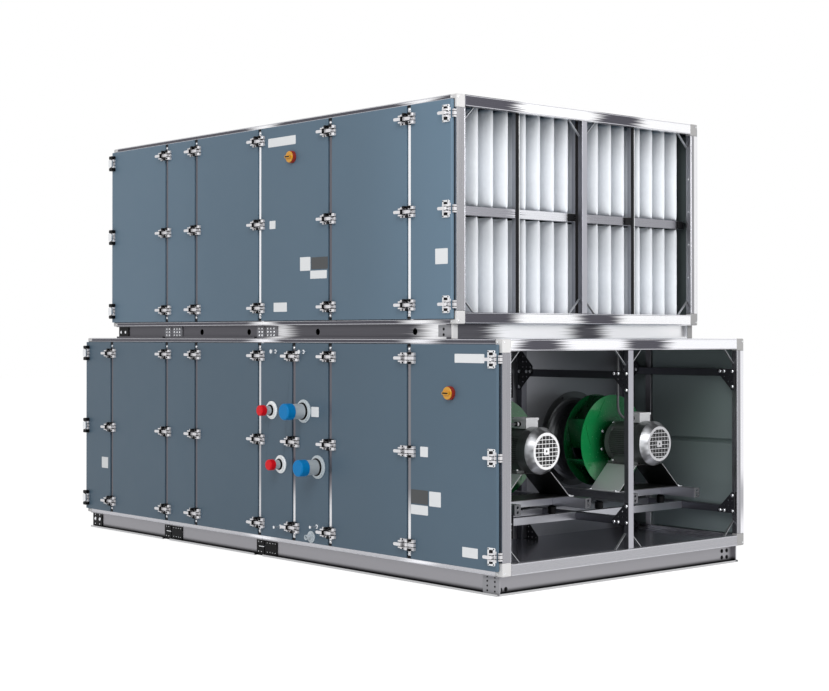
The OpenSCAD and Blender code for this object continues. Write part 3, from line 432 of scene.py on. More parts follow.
@dataclass(frozen=True)
class SeamStrip(Finish):
    """Strips on the panel seams: dark satin, with painted highlights along two of the seams."""

    dark: Colour = (0.135, 0.128, 0.145, 1.0)
    highlight_lines: Spans = ((-0.04, 0.04), (1.42, 1.51))
    low_z: float = 0.34
    high_z: float = 0.56
    split_z: float = 1.44
    half_z: float = 0.755
    low_dim: float = 0.34
    door_dim: float = 1.6
    clamp_dim: float = 0.9
    foot_highlight: float = 0.75

    def sockets(self, graph: Graph) -> dict[str, Any]:
        """Painted highlights on two seams, weaker in the lower tier, and on the others' foot there.
        """
        x, y, z = graph.axes()
        streak = graph.noise(1.0, graph.vector(x * 160, y * 160, z * 1.4), detail=2.0)
        past_clamp = (z < self.half_z) * (x < 1)
        # The painted highlights are weaker in the lower tier, most on the door and past the clamps
        dim = self.low_dim * (z < self.split_z) * (
            1 + self.door_dim * (x > 1) + self.clamp_dim * past_clamp)
        painted_highlight = graph.window(x, self.highlight_lines, 0.005) * (1 - dim)
        foot = self.foot_highlight * (1 - z.ease(self.low_z, self.high_z)) * x.ease(-0.2, 0.2)
        return {
            "Base Color": graph.mix(painted_highlight + foot * (1 - painted_highlight) + 0.14 * (streak - 0.5),
                                    self.dark, self.colour),
            "Roughness": 0.24 + 0.12 * streak,
            "Metallic": 0.9,
            "Normal": graph.bump(streak, 0.00003, 0.2),
        }


@dataclass(frozen=True)
class BaseMetal(Finish):
    """Brushed base channels: grain along each run, with painted highlights in set stretches.

    Beams carry painted highlights in spots along X. The cross channel past end_x is bright but for
    bands of painted dark reflection along Y. Both darken by fade in the corner of the lower flange,
    as painted shade, and the lip on it is painted bright, as a highlight.
    """

    dark: Colour = (0.085, 0.083, 0.096, 1.0)
    end_x: float = 1.76
    spots: Spans = ()
    bands: Spans = ()
    floor: float = 0.0
    height: float = 0.11
    fade: float = 0.0
    lip: float = 0.0
    lip_highlight: Colour = (0.5, 0.5, 0.51, 1.0)
    lip_y: Span = (-0.9655, 1.1255)
    lip_out: float = 0.036
    feather: float = 0.4
    spot_soft: float = 0.12
    band_soft: float = 0.08

    def sockets(self, graph: Graph) -> dict[str, Any]:
        """Tone by place, streaked by the grain."""
        x, y, z = graph.axes()
        end = x > self.end_x
        run = end * y + (1 - end) * x
        grain = graph.noise(1.0, graph.vector(run * 1.8, z * 230.0, 3.1), detail=3.0)
        feather = self.feather * (grain - 0.5)
        # Painted highlights, bands of painted dark reflection, painted shade by the lower flange
        # and a painted highlight on its lip
        beam = graph.window(x + feather, self.spots, self.spot_soft)
        cross = 1 - graph.window(y + feather, self.bands, self.band_soft)
        low = self.fade * (1 - z.ease(self.floor + self.lip, self.floor + self.height))
        tone = (1 - end) * beam + end * cross - low + 0.1 * (grain - 0.5)
        side = (y < self.lip_y[0]) + (y > self.lip_y[1])
        outer = (side + (x > self.end_x + self.lip_out)) > 0.5
        on_lip = outer * (z < self.floor + self.lip)
        channel = graph.mix(tone, self.dark, self.colour)
        return {
            "Base Color": graph.mix(on_lip, channel, self.lip_highlight),
            "Roughness": 0.3 + 0.14 * grain,
            "Metallic": 0.88,
            "Normal": graph.bump(grain, 0.00003, 0.3),
        }


@dataclass(frozen=True)
class BracketCoat(Coating):
    """Bracket plates: black, but grey in the middle base frame and bare at the open end."""

    grey: Colour = (0.2, 0.2, 0.22, 1.0)
    bare: Colour = (0.34, 0.34, 0.36, 1.0)
    middle_z: float = 1.3
    grey_x: float = -1.3
    bare_x: float = 1.3

    def sockets(self, graph: Graph) -> dict[str, Any]:
        """Three tones, parted by height and by the place along the unit."""
        paint = super().sockets(graph)
        x, _, z = graph.axes()
        middle = z > self.middle_z
        plain = graph.mix(middle * (x > self.grey_x), paint["Base Color"], self.grey)
        return paint | {"Base Color": graph.mix(x > self.bare_x, plain, self.bare)}


@dataclass(frozen=True)
class ClampCast(Coating):
    """Bright clamps with painted shade: thin black recesses beside the lever and a greyer foot
    behind it.
    """

    dark: Colour = (0.01, 0.01, 0.012, 1.0)
    heights: tuple[float, ...] = ()
    foot_y: float = -1.0045
    foot_shade_tone: float = 0.85
    gap: Span = (0.0096, 0.0138)

    def sockets(self, graph: Graph) -> dict[str, Any]:
        """Cast metal, painted black as shade by the distance from the clamp's middle, greyer near
        the panel.
        """
        paint = super().sockets(graph)
        _, y, z = graph.axes()
        off = graph.nearest(z, self.heights)
        recess_shade = (off > self.gap[0]) * (off < self.gap[1])
        metal = graph.scale(paint["Base Color"], 1 - (1 - self.foot_shade_tone) * (y > self.foot_y))
        return paint | {
            "Base Color": graph.mix(recess_shade, metal, self.dark),
            "Metallic": self.metallic * (1 - recess_shade),
        }


@dataclass(frozen=True)
class FoldedPlate(Coating):
    """Pedestal sheet: pale outside, painted black on the inside of its sloping plates, as shade."""

    dark: Colour = (0.008, 0.008, 0.009, 1.0)
    top_z: float = 0.624
    top_half: float = 0.123
    slope: float = 1.034
    sheet: float = 0.003

    def sockets(self, graph: Graph) -> dict[str, Any]:
        """Painted shade: dark where the point lies inwards of the outer plane, |y - axis| = top +
        slope drop.
        """
        paint = super().sockets(graph)
        _, y, z = graph.axes()
        outer = self.top_half + self.slope * (self.top_z - z)
        inside = (graph.nearest(y, FAN_AXES) - outer) < -self.sheet
        return paint | {"Base Color": graph.mix(inside, paint["Base Color"], self.dark),
                        "Metallic": self.metallic * (1 - inside)}


@dataclass(frozen=True)
class DividerCoat(Coating):
    """Filter bars: grey sides, and a front painted black as shade between thin bright edges."""

    dark: Colour = (0.012, 0.012, 0.014, 1.0)
    front: float = 1.7715
    first_y: float = -0.930
    cell: float = 0.505
    half: float = 0.0072

    def sockets(self, graph: Graph) -> dict[str, Any]:
        """Painted shade: black on the front face, near the bar's middle line."""
        paint = super().sockets(graph)
        x, y, _ = graph.axes()
        middle = (y - self.first_y).fold(self.cell) < self.half
        return paint | {"Base Color": graph.mix(
            (x > self.front) * middle, paint["Base Color"], self.dark)}


@dataclass(frozen=True)
class Fleece(Finish):
    """Filter fleece: matted fibres, greyer by painted shade towards the header and each row's top.
    """

    deep_shade: Colour = (0.52, 0.58, 0.66, 1.0)
    pocket_x: Span = (1.274, 1.704)
    row_tops: Span = (2.10, 2.73)
    row_fade: float = 0.34
    row_top_shade: float = 0.26

    def sockets(self, graph: Graph) -> dict[str, Any]:
        """Fibre mottling over a fade of painted shade from the header to the pocket's tip."""
        x, y, z = graph.axes()
        fibre = graph.noise(1.0, graph.vector(x * 240, y * 240, z * 120), detail=5.0)
        matted = graph.noise(38.0, detail=3.0)
        low, high = (z.ease(top - self.row_fade, top) for top in self.row_tops)
        dim = self.row_top_shade * (low * (z < self.row_tops[0] + 0.02) + high)
        pale = graph.scale(graph.mix(matted, self.shade(0.95), self.shade(1.03)), 1 - dim)
        return {
            "Base Color": graph.mix(x.ease(*self.pocket_x), self.deep_shade, pale),
            "Roughness": 0.88,
            "Sheen Weight": 0.15,
            "Normal": graph.bump(fibre, 0.0009, 0.5),
        }


@dataclass(frozen=True)
class MotorCoat(Coating):
    """Motor paint: dark ribs, a bright pressed cowl and a white end plate with black slots."""

    cowl: Colour = (0.78, 0.79, 0.82, 1.0)
    plate: Colour = (0.9, 0.9, 0.91, 1.0)
    far_plate_shade: Colour = (0.5, 0.5, 0.52, 1.0)
    black: Colour = (0.004, 0.004, 0.005, 1.0)
    cowl_x: float = 1.887
    cone_x: float = 1.957
    plate_x: float = 2.0012
    slot_reach: float = 0.1015
    slot_field: float = 0.090
    slot_pitch: Span = (0.028, 0.024)
    slot_half: Span = (0.0124, 0.0100)
    plain: Span = (0.0225, 0.0195)
    dot: float = 0.0065
    ray: Span = (0.36, 0.62)

    def sockets(self, graph: Graph) -> dict[str, Any]:
        """Paint by distance along the axis and from it: housing, cowl, cone, end plate, slots."""
        paint = super().sockets(graph)
        x, y, z = graph.axes()
        far = y > sum(FAN_AXES) / 2
        across = y - FAN_AXES[0] - (FAN_AXES[1] - FAN_AXES[0]) * far
        up = z - FAN_HEIGHT
        reach = graph.reach(across, up, 0.0)
        on_cowl, on_cone, on_plate = x > self.cowl_x, x > self.cone_x, x > self.plate_x
        middle = (abs(across) < self.plain[0]) * (abs(up) < self.plain[1])
        wide, tall = self.slot_pitch
        grid = (((across - wide / 4).fold(wide) < self.slot_half[0])
                * ((up - tall / 4).fold(tall) < self.slot_half[1]))
        # The black slots and the black sunk ring round the end plate are painted shade, and the far
        # motor's end plate is painted greyer, as shade
        holes = on_plate * grid * (reach < self.slot_field) * (1 - middle)
        sunk_shade = (1 - on_plate) * on_cone * (reach < self.slot_reach)
        dot = on_plate * (reach < self.dot)
        rim = graph.noise(1.0, graph.vector(x * 150, y * 3, z * 3))
        ray = graph.noise(2.3, graph.vector(across / reach, up / reach, x * 6), detail=1.0)
        cowl = graph.mix(ray.ease(*self.ray), dimmed(self.cowl, 0.3), self.cowl)
        ring = graph.mix(rim, self.shade(1.3), self.shade(2.2))
        body = graph.mix(on_cowl, paint["Base Color"], graph.mix(on_cone, ring, cowl))
        white = graph.mix(on_plate, body, graph.mix(far, self.plate, self.far_plate_shade))
        metal = 0.8 * on_cowl * (1 - on_plate) * (1 - sunk_shade)
        return paint | {
            "Base Color": graph.mix(holes + sunk_shade + dot, white, self.black),
            "Metallic": metal,
            "Roughness": 0.44 - 0.16 * metal + 0.08 * (rim - 0.5),
        }


@dataclass(frozen=True)
class WheelCoat(Coating):
    """Glossy green coat of an impeller, with painted shade at its axis, its far side and its inlet.
    """

    axis_y: float = 0.0
    disc: Span = (0.08, 0.25)
    far_side: Span = (-0.26, 0.08)
    far_dim: float = 0.8
    depth: Span = (1.50, 1.61)
    depth_dim: float = 0.8
    rim_share: float = 0.88
    hub_shade: float = 0.16

    def sockets(self, graph: Graph) -> dict[str, Any]:
        """Painted shade: a radial fade, a fade from the near side to the far side, and one along
        the axis.
        """
        paint = super().sockets(graph)
        x, y, z = graph.axes()
        across = y - self.axis_y
        fade = graph.reach(0.0, across, z - FAN_HEIGHT).ease(*self.disc)
        far_shade = across.ease(*self.far_side)
        deep_shade = 1 - x.ease(*self.depth)
        tone = (self.rim_share * fade * (1 - self.far_dim * far_shade) * (1 - self.depth_dim * deep_shade))
        return paint | {
            "Base Color": graph.mix(tone, self.shade(self.hub_shade), paint["Base Color"])}


@dataclass(frozen=True)
class TwoTone(Coating):
    """Coat in two tones, parted by the place along one axis, with the second past the split.

    The sign says which way past is.
    """

    second: Colour = (0.3, 0.33, 0.36, 1.0)
    axis: int = 0
    split: float = 0.0
    sign: float = 1.0

    def sockets(self, graph: Graph) -> dict[str, Any]:
        """The second tone past the split."""
        paint = super().sockets(graph)
        past = (self.sign * graph.axes()[self.axis]) > (self.sign * self.split)
        return paint | {"Base Color": graph.mix(past, paint["Base Color"], self.second)}


PAINT = (0.100, 0.158, 0.215, 1.0)
PAINT_LOOK = dict(roughness=0.42, specular=0.3, cloud=0.05, cloud_scale=0.7, grain_scale=620.0,
                  grain_depth=0.00005)
FRONT_PAINT = PanelPaint("panel_paint_front", PAINT, **PAINT_LOOK)
REAR_PAINT = PanelPaint("panel_paint_rear", PAINT, plane=1.151, side=Side.REAR, **PAINT_LOOK)
END_PAINT = Coating("panel_paint_end", PAINT, **PAINT_LOOK)
# The lower roof's underside gets a near-black lining: painted shade in the bay
ROOF_PAINT = PanelPaint("panel_paint_roof", PAINT, plane=1.362, side=Side.ROOF,
                        lining=(0.08, 0.08, 0.09, 1.0), **PAINT_LOOK)
BARE_ZINC = Zinc("zinc_sheet", (0.42, 0.43, 0.45, 1.0), contrast=0.07)
CONE_ZINC = Zinc("zinc_cones", (0.13, 0.135, 0.14, 1.0), roughness=0.3, contrast=0.03)
FLOOR_ZINC = Zinc("zinc_floor", (0.4, 0.4, 0.45, 1.0), roughness=0.22, contrast=0.02)
# Zinc of the bay's bars and posts is set dark: painted shade of the bay
DARK_ZINC = Zinc("zinc_dark", (0.11, 0.112, 0.13, 1.0), contrast=0.04)
CHANNEL_ZINC = Zinc("zinc_channels", (0.42, 0.425, 0.46, 1.0), roughness=0.3, contrast=0.03,
                    roll=(2.0, 2.0, 170.0), end_x=2.0565, end_share=0.3)
WALL_ZINC = Zinc("zinc_wall", (0.27, 0.275, 0.3, 1.0), roughness=0.34, contrast=0.02,
                 roll=(60.0, 3.0, 60.0))
GUSSET = Coating("gusset_plates", (0.022, 0.022, 0.027, 1.0), slot="galvanised", metallic=0.4,
                 cloud=0.2, cloud_scale=20.0)
BAY_POST = TwoTone("bay_posts", (0.4, 0.4, 0.44, 1.0), roughness=0.3, metallic=0.85,
                   cloud=0.12, cloud_scale=4.0, second=(0.15, 0.15, 0.17, 1.0), axis=1,
                   split=0.0585, sign=-1.0)
BRIGHT = (0.95, 0.95, 0.97, 1.0)
SATIN = (0.93, 0.93, 0.97, 1.0)
# Spans of painted highlight and painted dark reflection on the bars, strips and base channels
RAIL_HIGHLIGHTS = ((-0.11, 0.13), (1.42, 1.66))
LOWER_BARS = DrawnBar(
    "lower_bars", SATIN, end_x=2.171, split_z=0.75, post_low=0.18, post_high=1.33,
    rail_highlights=RAIL_HIGHLIGHTS, low_rail_highlight=0.5, top_dark_reflections=((-0.83, -0.50), (0.04, 0.41)), low_shade_tone=0.36,
    post_shade_bands=((0.3, 0.52),), seed=2.0)
UPPER_BARS = DrawnBar(
    "upper_bars", BRIGHT, end_x=1.805, split_z=2.13, post_low=1.55, post_high=2.70,
    rail_highlights=RAIL_HIGHLIGHTS, top_dark_reflections=((-1.2, -0.48), (0.18, 0.58)),
    low_dark_reflections=((-1.2, -0.50), (0.02, 0.39)), seed=5.1)
STRIPS = SeamStrip("seam_strips", BRIGHT)
LIPS = Coating("profile_lips", (0.62, 0.62, 0.66, 1.0), slot="frame_profile", roughness=0.24,
               metallic=0.9, cloud=0.2, cloud_scale=2.0)
RAIL_BARS = DrawnBar("filter_rail", (0.72, 0.73, 0.77, 1.0), dark=(0.3, 0.3, 0.33, 1.0), end_x=0.5,
                     low_dark_reflections=((-1.2, -0.43), (0.12, 1.2)))
DIVIDER = DividerCoat("filter_dividers", (0.4, 0.41, 0.45, 1.0), roughness=0.34, metallic=0.7,
                      cloud=0.12)
LOWER_BASE = BaseMetal("lower_base", (0.31, 0.305, 0.325, 1.0), dark=(0.012, 0.012, 0.014, 1.0),
                       end_x=2.126, spots=((-3.0, 3.0),), height=0.04, fade=1.0, lip=0.0125)
MIDDLE_BASE = BaseMetal("middle_base", BRIGHT, end_x=1.76, spots=((0.11, 0.24), (1.54, 1.74)),
                        bands=((-1.2, -0.62), (0.03, 0.30)), floor=1.4)
# Corner pieces on the rear side are painted darker grey, as shade
CORNER = TwoTone("corner_plastic", srgb(213, 212, 212), slot="corner_plastic", roughness=0.5,
                 cloud=0.04, grain_scale=700.0, second=srgb(160, 159, 159), axis=1, split=0.9)
BLACK_PLATE = Coating("black_plate", (0.005, 0.005, 0.006, 1.0), slot="black_bracket",
                      specular=0.12, cloud=0.3, cloud_scale=30.0)
BRACKET = BracketCoat("base_brackets", (0.003, 0.003, 0.004, 1.0), specular=0.1, cloud=0.3,
                      cloud_scale=30.0)
CLAMP_LOOK = dict(roughness=0.3, metallic=0.35, cloud=0.1, cloud_scale=26.0, grain_scale=420.0,
                  grain_depth=0.00012)
LOWER_CLAMP = ClampCast("lower_clamps", (0.76, 0.75, 0.77, 1.0), heights=(0.220, 0.755, 1.290),
                        **CLAMP_LOOK)
UPPER_CLAMP = ClampCast("upper_clamps", (0.76, 0.75, 0.77, 1.0), heights=(1.594, 2.129, 2.664),
                        **CLAMP_LOOK)
BOLT = Coating("bright_bolts", (0.8, 0.81, 0.83, 1.0), slot="clamp_metal", roughness=0.24,
               metallic=0.9, cloud=0.12, cloud_scale=60.0)
RUBBER = Coating("black_rubber", (0.004, 0.004, 0.005, 1.0), slot="mount_rubber", specular=0.12,
                 cloud=0.25, cloud_scale=40.0, grain_scale=900.0, grain_depth=0.0001)
MOTOR = MotorCoat("motor_paint", (0.115, 0.122, 0.122, 1.0), roughness=0.42, cloud=0.15,
                  cloud_scale=14.0, grain_depth=0.0002)
MOTOR_BOX = Coating("terminal_box", (0.66, 0.66, 0.68, 1.0), cloud=0.06, cloud_scale=20.0)
PEDESTAL = FoldedPlate("pedestal_sheet", (0.66, 0.67, 0.69, 1.0), metallic=0.5, cloud=0.05)
GREEN = (0.004, 0.29, 0.075, 1.0)
WHEELS = tuple(
    WheelCoat(f"wheel_{number}_green", GREEN, roughness=0.26, axis_y=axis, coat=0.5, cloud=0.1,
              cloud_scale=8.0) for number, axis in enumerate(FAN_AXES, start=1))
CABLE = Coating("cable_sheath", (0.075, 0.077, 0.083, 1.0), slot="cable_grey", roughness=0.45,
                cloud=0.12, cloud_scale=30.0)
HEADER = Coating("filter_header", (0.55, 0.57, 0.6, 1.0), roughness=0.5, cloud_scale=12.0)
CLOTH = Fleece("filter_fleece", (0.84, 0.87, 0.91, 1.0), slot="filter_cloth")
PIPE = Coating("steel_pipe", srgb(186, 193, 198), roughness=0.42, metallic=0.2, cloud=0.1,
               cloud_scale=24.0, grain_depth=0.0002)
RED_CAP = Coating("red_cap", srgb(222, 12, 28), specular=0.25, cloud=0.05, cloud_scale=18.0)
BLUE_CAP = Coating("blue_cap", srgb(0, 124, 190), specular=0.2, cloud=0.05, cloud_scale=14.0)
COLLAR = TwoTone("wall_collars", srgb(248, 251, 252), roughness=0.42, cloud=0.05,
                 second=srgb(200, 209, 214), split=0.352)
DRAIN = Coating("drain_pale", srgb(196, 205, 211), roughness=0.36, cloud_scale=20.0)
CHROME = Coating("valve_chrome", (0.74, 0.76, 0.79, 1.0), roughness=0.18, metallic=0.85,
                 cloud=0.15, cloud_scale=50.0)
SWITCH_RED = Coating("switch_red", srgb(150, 40, 22), roughness=0.35, cloud_scale=25.0, coat=0.2)
SWITCH_YELLOW = Coating("switch_yellow", srgb(214, 152, 24), slot="switch_yellow",
                        roughness=0.35, cloud_scale=25.0, coat=0.2)
PLATE_WHITE = Coating("blank_plate_white", srgb(232, 234, 236), slot="filter_header",
                      roughness=0.38, cloud=0.02)
PLATE_GREY = Coating("blank_plate_grey", srgb(64, 66, 68), slot="black_bracket", cloud=0.04)


# Surfaces


class Facing(Enum):
    """Way that a fitting's front faces, as the frame axes of its own X, Y and Z."""

    FRONT = ((1, 0, 0), (0, 0, 1), (0, -1, 0))
    REAR = ((-1, 0, 0), (0, 0, 1), (0, 1, 0))
    OPEN_END = ((0, 1, 0), (0, 0, 1), (1, 0, 0))
    CLOSED_END = ((0, -1, 0), (0, 0, 1), (-1, 0, 0))
    UP = ((1, 0, 0), (0, 1, 0), (0, 0, 1))

    def at(self, shape: Array, spots: Array) -> Array:
        """Turn a shape to face this way and repeat it: spot + x u + y v + z n.

        Args:
            shape: Points in the fitting's own axes, as rows and columns.
            spots: Places in the frame, one row each.

        Returns:
            The shape at every spot, with the spots as the first axis.
        """
        turned_shape = shape @ np.array(self.value, float)
        return np.atleast_2d(spots)[:, None, None, :] + turned_shape


class Head(Enum):
    """Head of a fastener: sides and profile of each turned part, in shares of its radius."""

    HEX = ((6, ((1.0, 0.0), (1.0, 0.52), (0.88, 0.64), (0.0, 0.64))),
           (12, ((1.42, 0.0), (1.42, 0.12), (1.34, 0.17), (0.0, 0.17))))
    SOCKET = ((12, ((1.0, 0.0), (1.0, 0.6), (0.9, 0.74), (0.58, 0.74), (0.52, 0.2), (0.0, 0.2))),)
    PAN = ((12, ((1.0, 0.0), (0.95, 0.28), (0.74, 0.48), (0.3, 0.56), (0.22, 0.3), (0.0, 0.3))),)


def turned(profile: Any, sides: int) -> Array:
    """Turn a profile about Z: P(u, v) = (r(u) cos v, r(u) sin v, h(u)).

    Args:
        profile: Rows of radius and height.
        sides: Number of columns round the axis.

    Returns:
        Points with one row for each row of the profile.
    """
    radius, height = np.array(profile, float).T
    angle = np.linspace(0, 2 * pi, sides, endpoint=False)
    return np.stack([radius[:, None] * np.cos(angle), radius[:, None] * np.sin(angle),
                     np.repeat(height[:, None], sides, 1)], -1)


def rounded(width: float, height: float, radius: float, steps: int = 4) -> Array:
    """Outline of a rectangle with round corners: corner centre + radius (cos a, sin a)."""
    quarter = np.linspace(0, pi / 2, steps + 1)
    angle = quarter + np.arange(4)[:, None] * pi / 2
    centre = np.array([[1, 1], [-1, 1], [-1, -1], [1, -1]]) * (
        np.array([width, height]) / 2 - radius)
    round_off = radius * np.stack([np.cos(angle), np.sin(angle)], -1)
    return (centre[:, None, :] + round_off).reshape(-1, 2)


def plate(width: float, height: float, radius: float, depth: float, edge: float) -> Array:
    """Plate on the XY plane, as outlines stacked along Z, the last one drawn in by its edge."""
    wide = rounded(width, height, radius)
    narrow = rounded(width - 2 * edge, height - 2 * edge, max(radius - edge, 1e-4))
    levels = ((wide, 0.0), (wide, depth - edge), (narrow, depth))
    return np.stack([np.column_stack([o, np.full(len(o), z)]) for o, z in levels])


def rods(starts: Any, ends: Any, outline: Array, side: Any, up: Any) -> Array:
    """Carry an outline along straight lines: P = start + t (end - start) + a side + b up."""
    ends_of = np.stack([np.atleast_2d(starts), np.atleast_2d(ends)], 1)
    section = outline[:, :1] * np.array(side, float) + outline[:, 1:] * np.array(up, float)
    return ends_of[:, :, None, :] + section


def smooth_path(points: Array, steps: int) -> Array:
    """Catmull-Rom curve through the points, with the given steps on each stretch."""
    padded = np.vstack([2 * points[0] - points[1], points, 2 * points[-1] - points[-2]])
    a, b, c, d = padded[:-3], padded[1:-2], padded[2:-1], padded[3:]
    t = np.linspace(0, 1, steps, endpoint=False)[None, :, None]
    a, b, c, d = (p[:, None, :] for p in (a, b, c, d))
    curve = 0.5 * (2 * b + (c - a) * t + (2 * a - 5 * b + 4 * c - d) * t ** 2
                   + (3 * b - a - 3 * c + d) * t ** 3)
    return np.vstack([curve.reshape(-1, 3), points[-1:]])


def hose(path: Array, radius: float, sides: int = 14) -> Array:
    """Round tube on a path that lies across X: P = path + r (cos v X + sin v (X x tangent))."""
    tangent = np.gradient(path, axis=0)
    tangent /= np.linalg.norm(tangent, axis=1, keepdims=True)
    normal = np.cross([1.0, 0.0, 0.0], tangent)
    angle = np.linspace(0, 2 * pi, sides, endpoint=False)[None, :, None]
    return path[:, None, :] + radius * (
        np.cos(angle) * np.array([1.0, 0.0, 0.0]) + np.sin(angle) * normal[:, None, :])


def spread(*axes: Any) -> Array:
    """Every combination of the given X, Y and Z values, one row each."""
    grids = np.meshgrid(*[np.atleast_1d(a) for a in axes], indexing="ij")
    return np.stack(grids, -1).reshape(-1, 3)


@dataclass
class Surface:
    """Points and faces of one piece while it grows."""

    points: list[Array] = field(default_factory=list)
    faces: list[list[int]] = field(default_factory=list)
    count: int = 0

    def add(self, points: Array, wrap_rows: bool = False, wrap_columns: bool = True,
            caps: bool = True) -> "Surface":
        """Add grids of points as quads.

        Args:
            points: Points by rows and columns, with any number of copies before them.
            wrap_rows: Whether the last row joins the first.
            wrap_columns: Whether the last column joins the first.
            caps: Whether the first and last row are closed with a face.

        Returns:
            This surface, for more additions.
        """
        rows, columns = points.shape[-3:-1]
        copies = points.reshape(-1, rows * columns, 3)
        index = np.arange(rows * columns).reshape(rows, columns)
        ends = np.stack([index[0, ::-1], index[-1]])
        if wrap_rows:
            index = np.vstack([index, index[:1]])
        if wrap_columns:
            index = np.hstack([index, index[:, :1]])
        quads = np.stack(
            [index[:-1, :-1], index[:-1, 1:], index[1:, 1:], index[1:, :-1]], -1).reshape(-1, 4)
        first = self.count + np.arange(len(copies))[:, None, None] * rows * columns
        self.faces += (first + quads).reshape(-1, 4).tolist()
        if caps and not wrap_rows:
            self.faces += (first + ends).reshape(-1, columns).tolist()
        self.points.append(copies.reshape(-1, 3))
        self.count += copies.shape[0] * rows * columns
        return self

    def fasten(self, head: Head, radius: float, spots: Array, facing: Facing = Facing.FRONT
               ) -> "Surface":
        """Add a fastener's head at every spot."""
        for sides, profile in head.value:
            self.add(facing.at(turned(profile, sides) * radius, spots))
        return self

    def plates(self, size: tuple[float, ...], spots: Any, facing: Facing = Facing.FRONT
               ) -> "Surface":
        """Add a plate at every spot, by its width, height, corner radius, depth and edge."""
        return self.add(facing.at(plate(*size), np.array(spots)))

    def piece(self, name: str, finish: Finish, body: str = "casing",
              crease: float = 32.0) -> bpy.types.Object:
        """Close the surface into a piece that rides on a body.

        Args:
            name: Name of the piece.
            finish: Its finish, which also names its material slot.
            body: Body that it moves with.
            crease: Angle in degrees above which an edge stays sharp.

        Returns:
            The piece, at the origin, with its place in its mesh.
        """
        mesh = bpy.data.meshes.new(name)
        mesh.from_pydata(np.concatenate(self.points).tolist(), [], self.faces)
        shell = bmesh.new()
        shell.from_mesh(mesh)
        bmesh.ops.remove_doubles(shell, verts=shell.verts, dist=1e-6)
        bmesh.ops.dissolve_degenerate(shell, edges=shell.edges, dist=1e-7)
        bmesh.ops.recalc_face_normals(shell, faces=shell.faces)
        shell.to_mesh(mesh)
        shell.free()
        mesh.shade_smooth()
        mesh.set_sharp_from_angle(angle=radians(crease))
        made = bpy.data.objects.new(name, mesh)
        bpy.context.scene.collection.objects.link(made)
        mesh.materials.append(finish.material())
        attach(made, body)
        LOG.info("%s: %d faces on %s", name, len(mesh.polygons), body)
        return made


def dress(finish: Finish, *nodes: str, edge: float = 0.0) -> None:
    """Give CAD nodes a finish, and their edges a small round where edge is more than 0."""
    for name in nodes:
        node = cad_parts[name]
        node.data.materials.clear()
        node.data.materials.append(finish.material())
        if edge:
            weld = node.modifiers.new("joined_edges", "WELD")
            weld.merge_threshold = 1e-5
            bevel = node.modifiers.new("rounded_edges", "BEVEL")
            bevel.width, bevel.segments = edge, 2
            bevel.limit_method, bevel.angle_limit = "ANGLE", radians(40)
            bevel.use_clamp_overlap = True
        LOG.info("%s: finished in %s", name, finish.name)


# Sub-assemblies


@dataclass(frozen=True)
class Tier:
    """One tier of the casing: its floor and ends, and the module lines of its seams.

    Doors is the number of its panels that swing, counted from the open end.
    """

    name: str
    floor: float
    left: float
    right: float
    lines: tuple[int, ...]
    doors: int = 0
    module: float = 0.366
    first_line: float = 2.196
    height: float = 1.290
    edge_show: float = 0.020
    rail_show: float = 0.029
    clamp_inset: float = 0.110

    def levels(self, *insets: float) -> Array:
        """Heights that lie the insets above the floor, then those the insets below the top."""
        inset = np.array(insets)
        return np.concatenate([self.floor + inset, self.floor + self.height - inset])

    def seams(self) -> Array:
        """X of the seams between two panels, from the open end."""
        return self.first_line - self.module * np.array(self.lines[1:-1], float)

    def edge(self) -> float:
        """X of the last panel's edge at the open end."""
        return self.right - self.edge_show

    def clamps(self, *shifts: float) -> Array:
        """Heights of the three clamps on a seam, or of the places shifted up from each."""
        middles = self.floor + np.array([self.clamp_inset, self.height / 2,
                                         self.height - self.clamp_inset])
        return (middles[:, None] + np.array(shifts or (0.0,))).ravel()

    def panels(self, gap: float = 0.036) -> Array:
        """Left and right edge of every service panel, from the open end."""
        seams = self.seams()
        right = np.concatenate([[self.edge()], seams - gap / 2])
        left = np.concatenate([seams + gap / 2, [self.left + self.edge_show]])
        return np.column_stack([left, right])


LOWER = Tier("lower", 0.110, -2.212, 2.212, (0, 2, 4, 5, 6, 8, 9, 11, 12), doors=1)
UPPER = Tier("upper", 1.484, -1.846, 1.846, (1, 2, 4, 6, 8, 9, 11))
TIERS = (LOWER, UPPER)

# Y of the frame's front and rear faces, and of the service panels' outer face
FRONT, BACK = -0.970, 1.130
FACE = -0.995

X_WAY, Y_WAY, Z_WAY = np.eye(3)


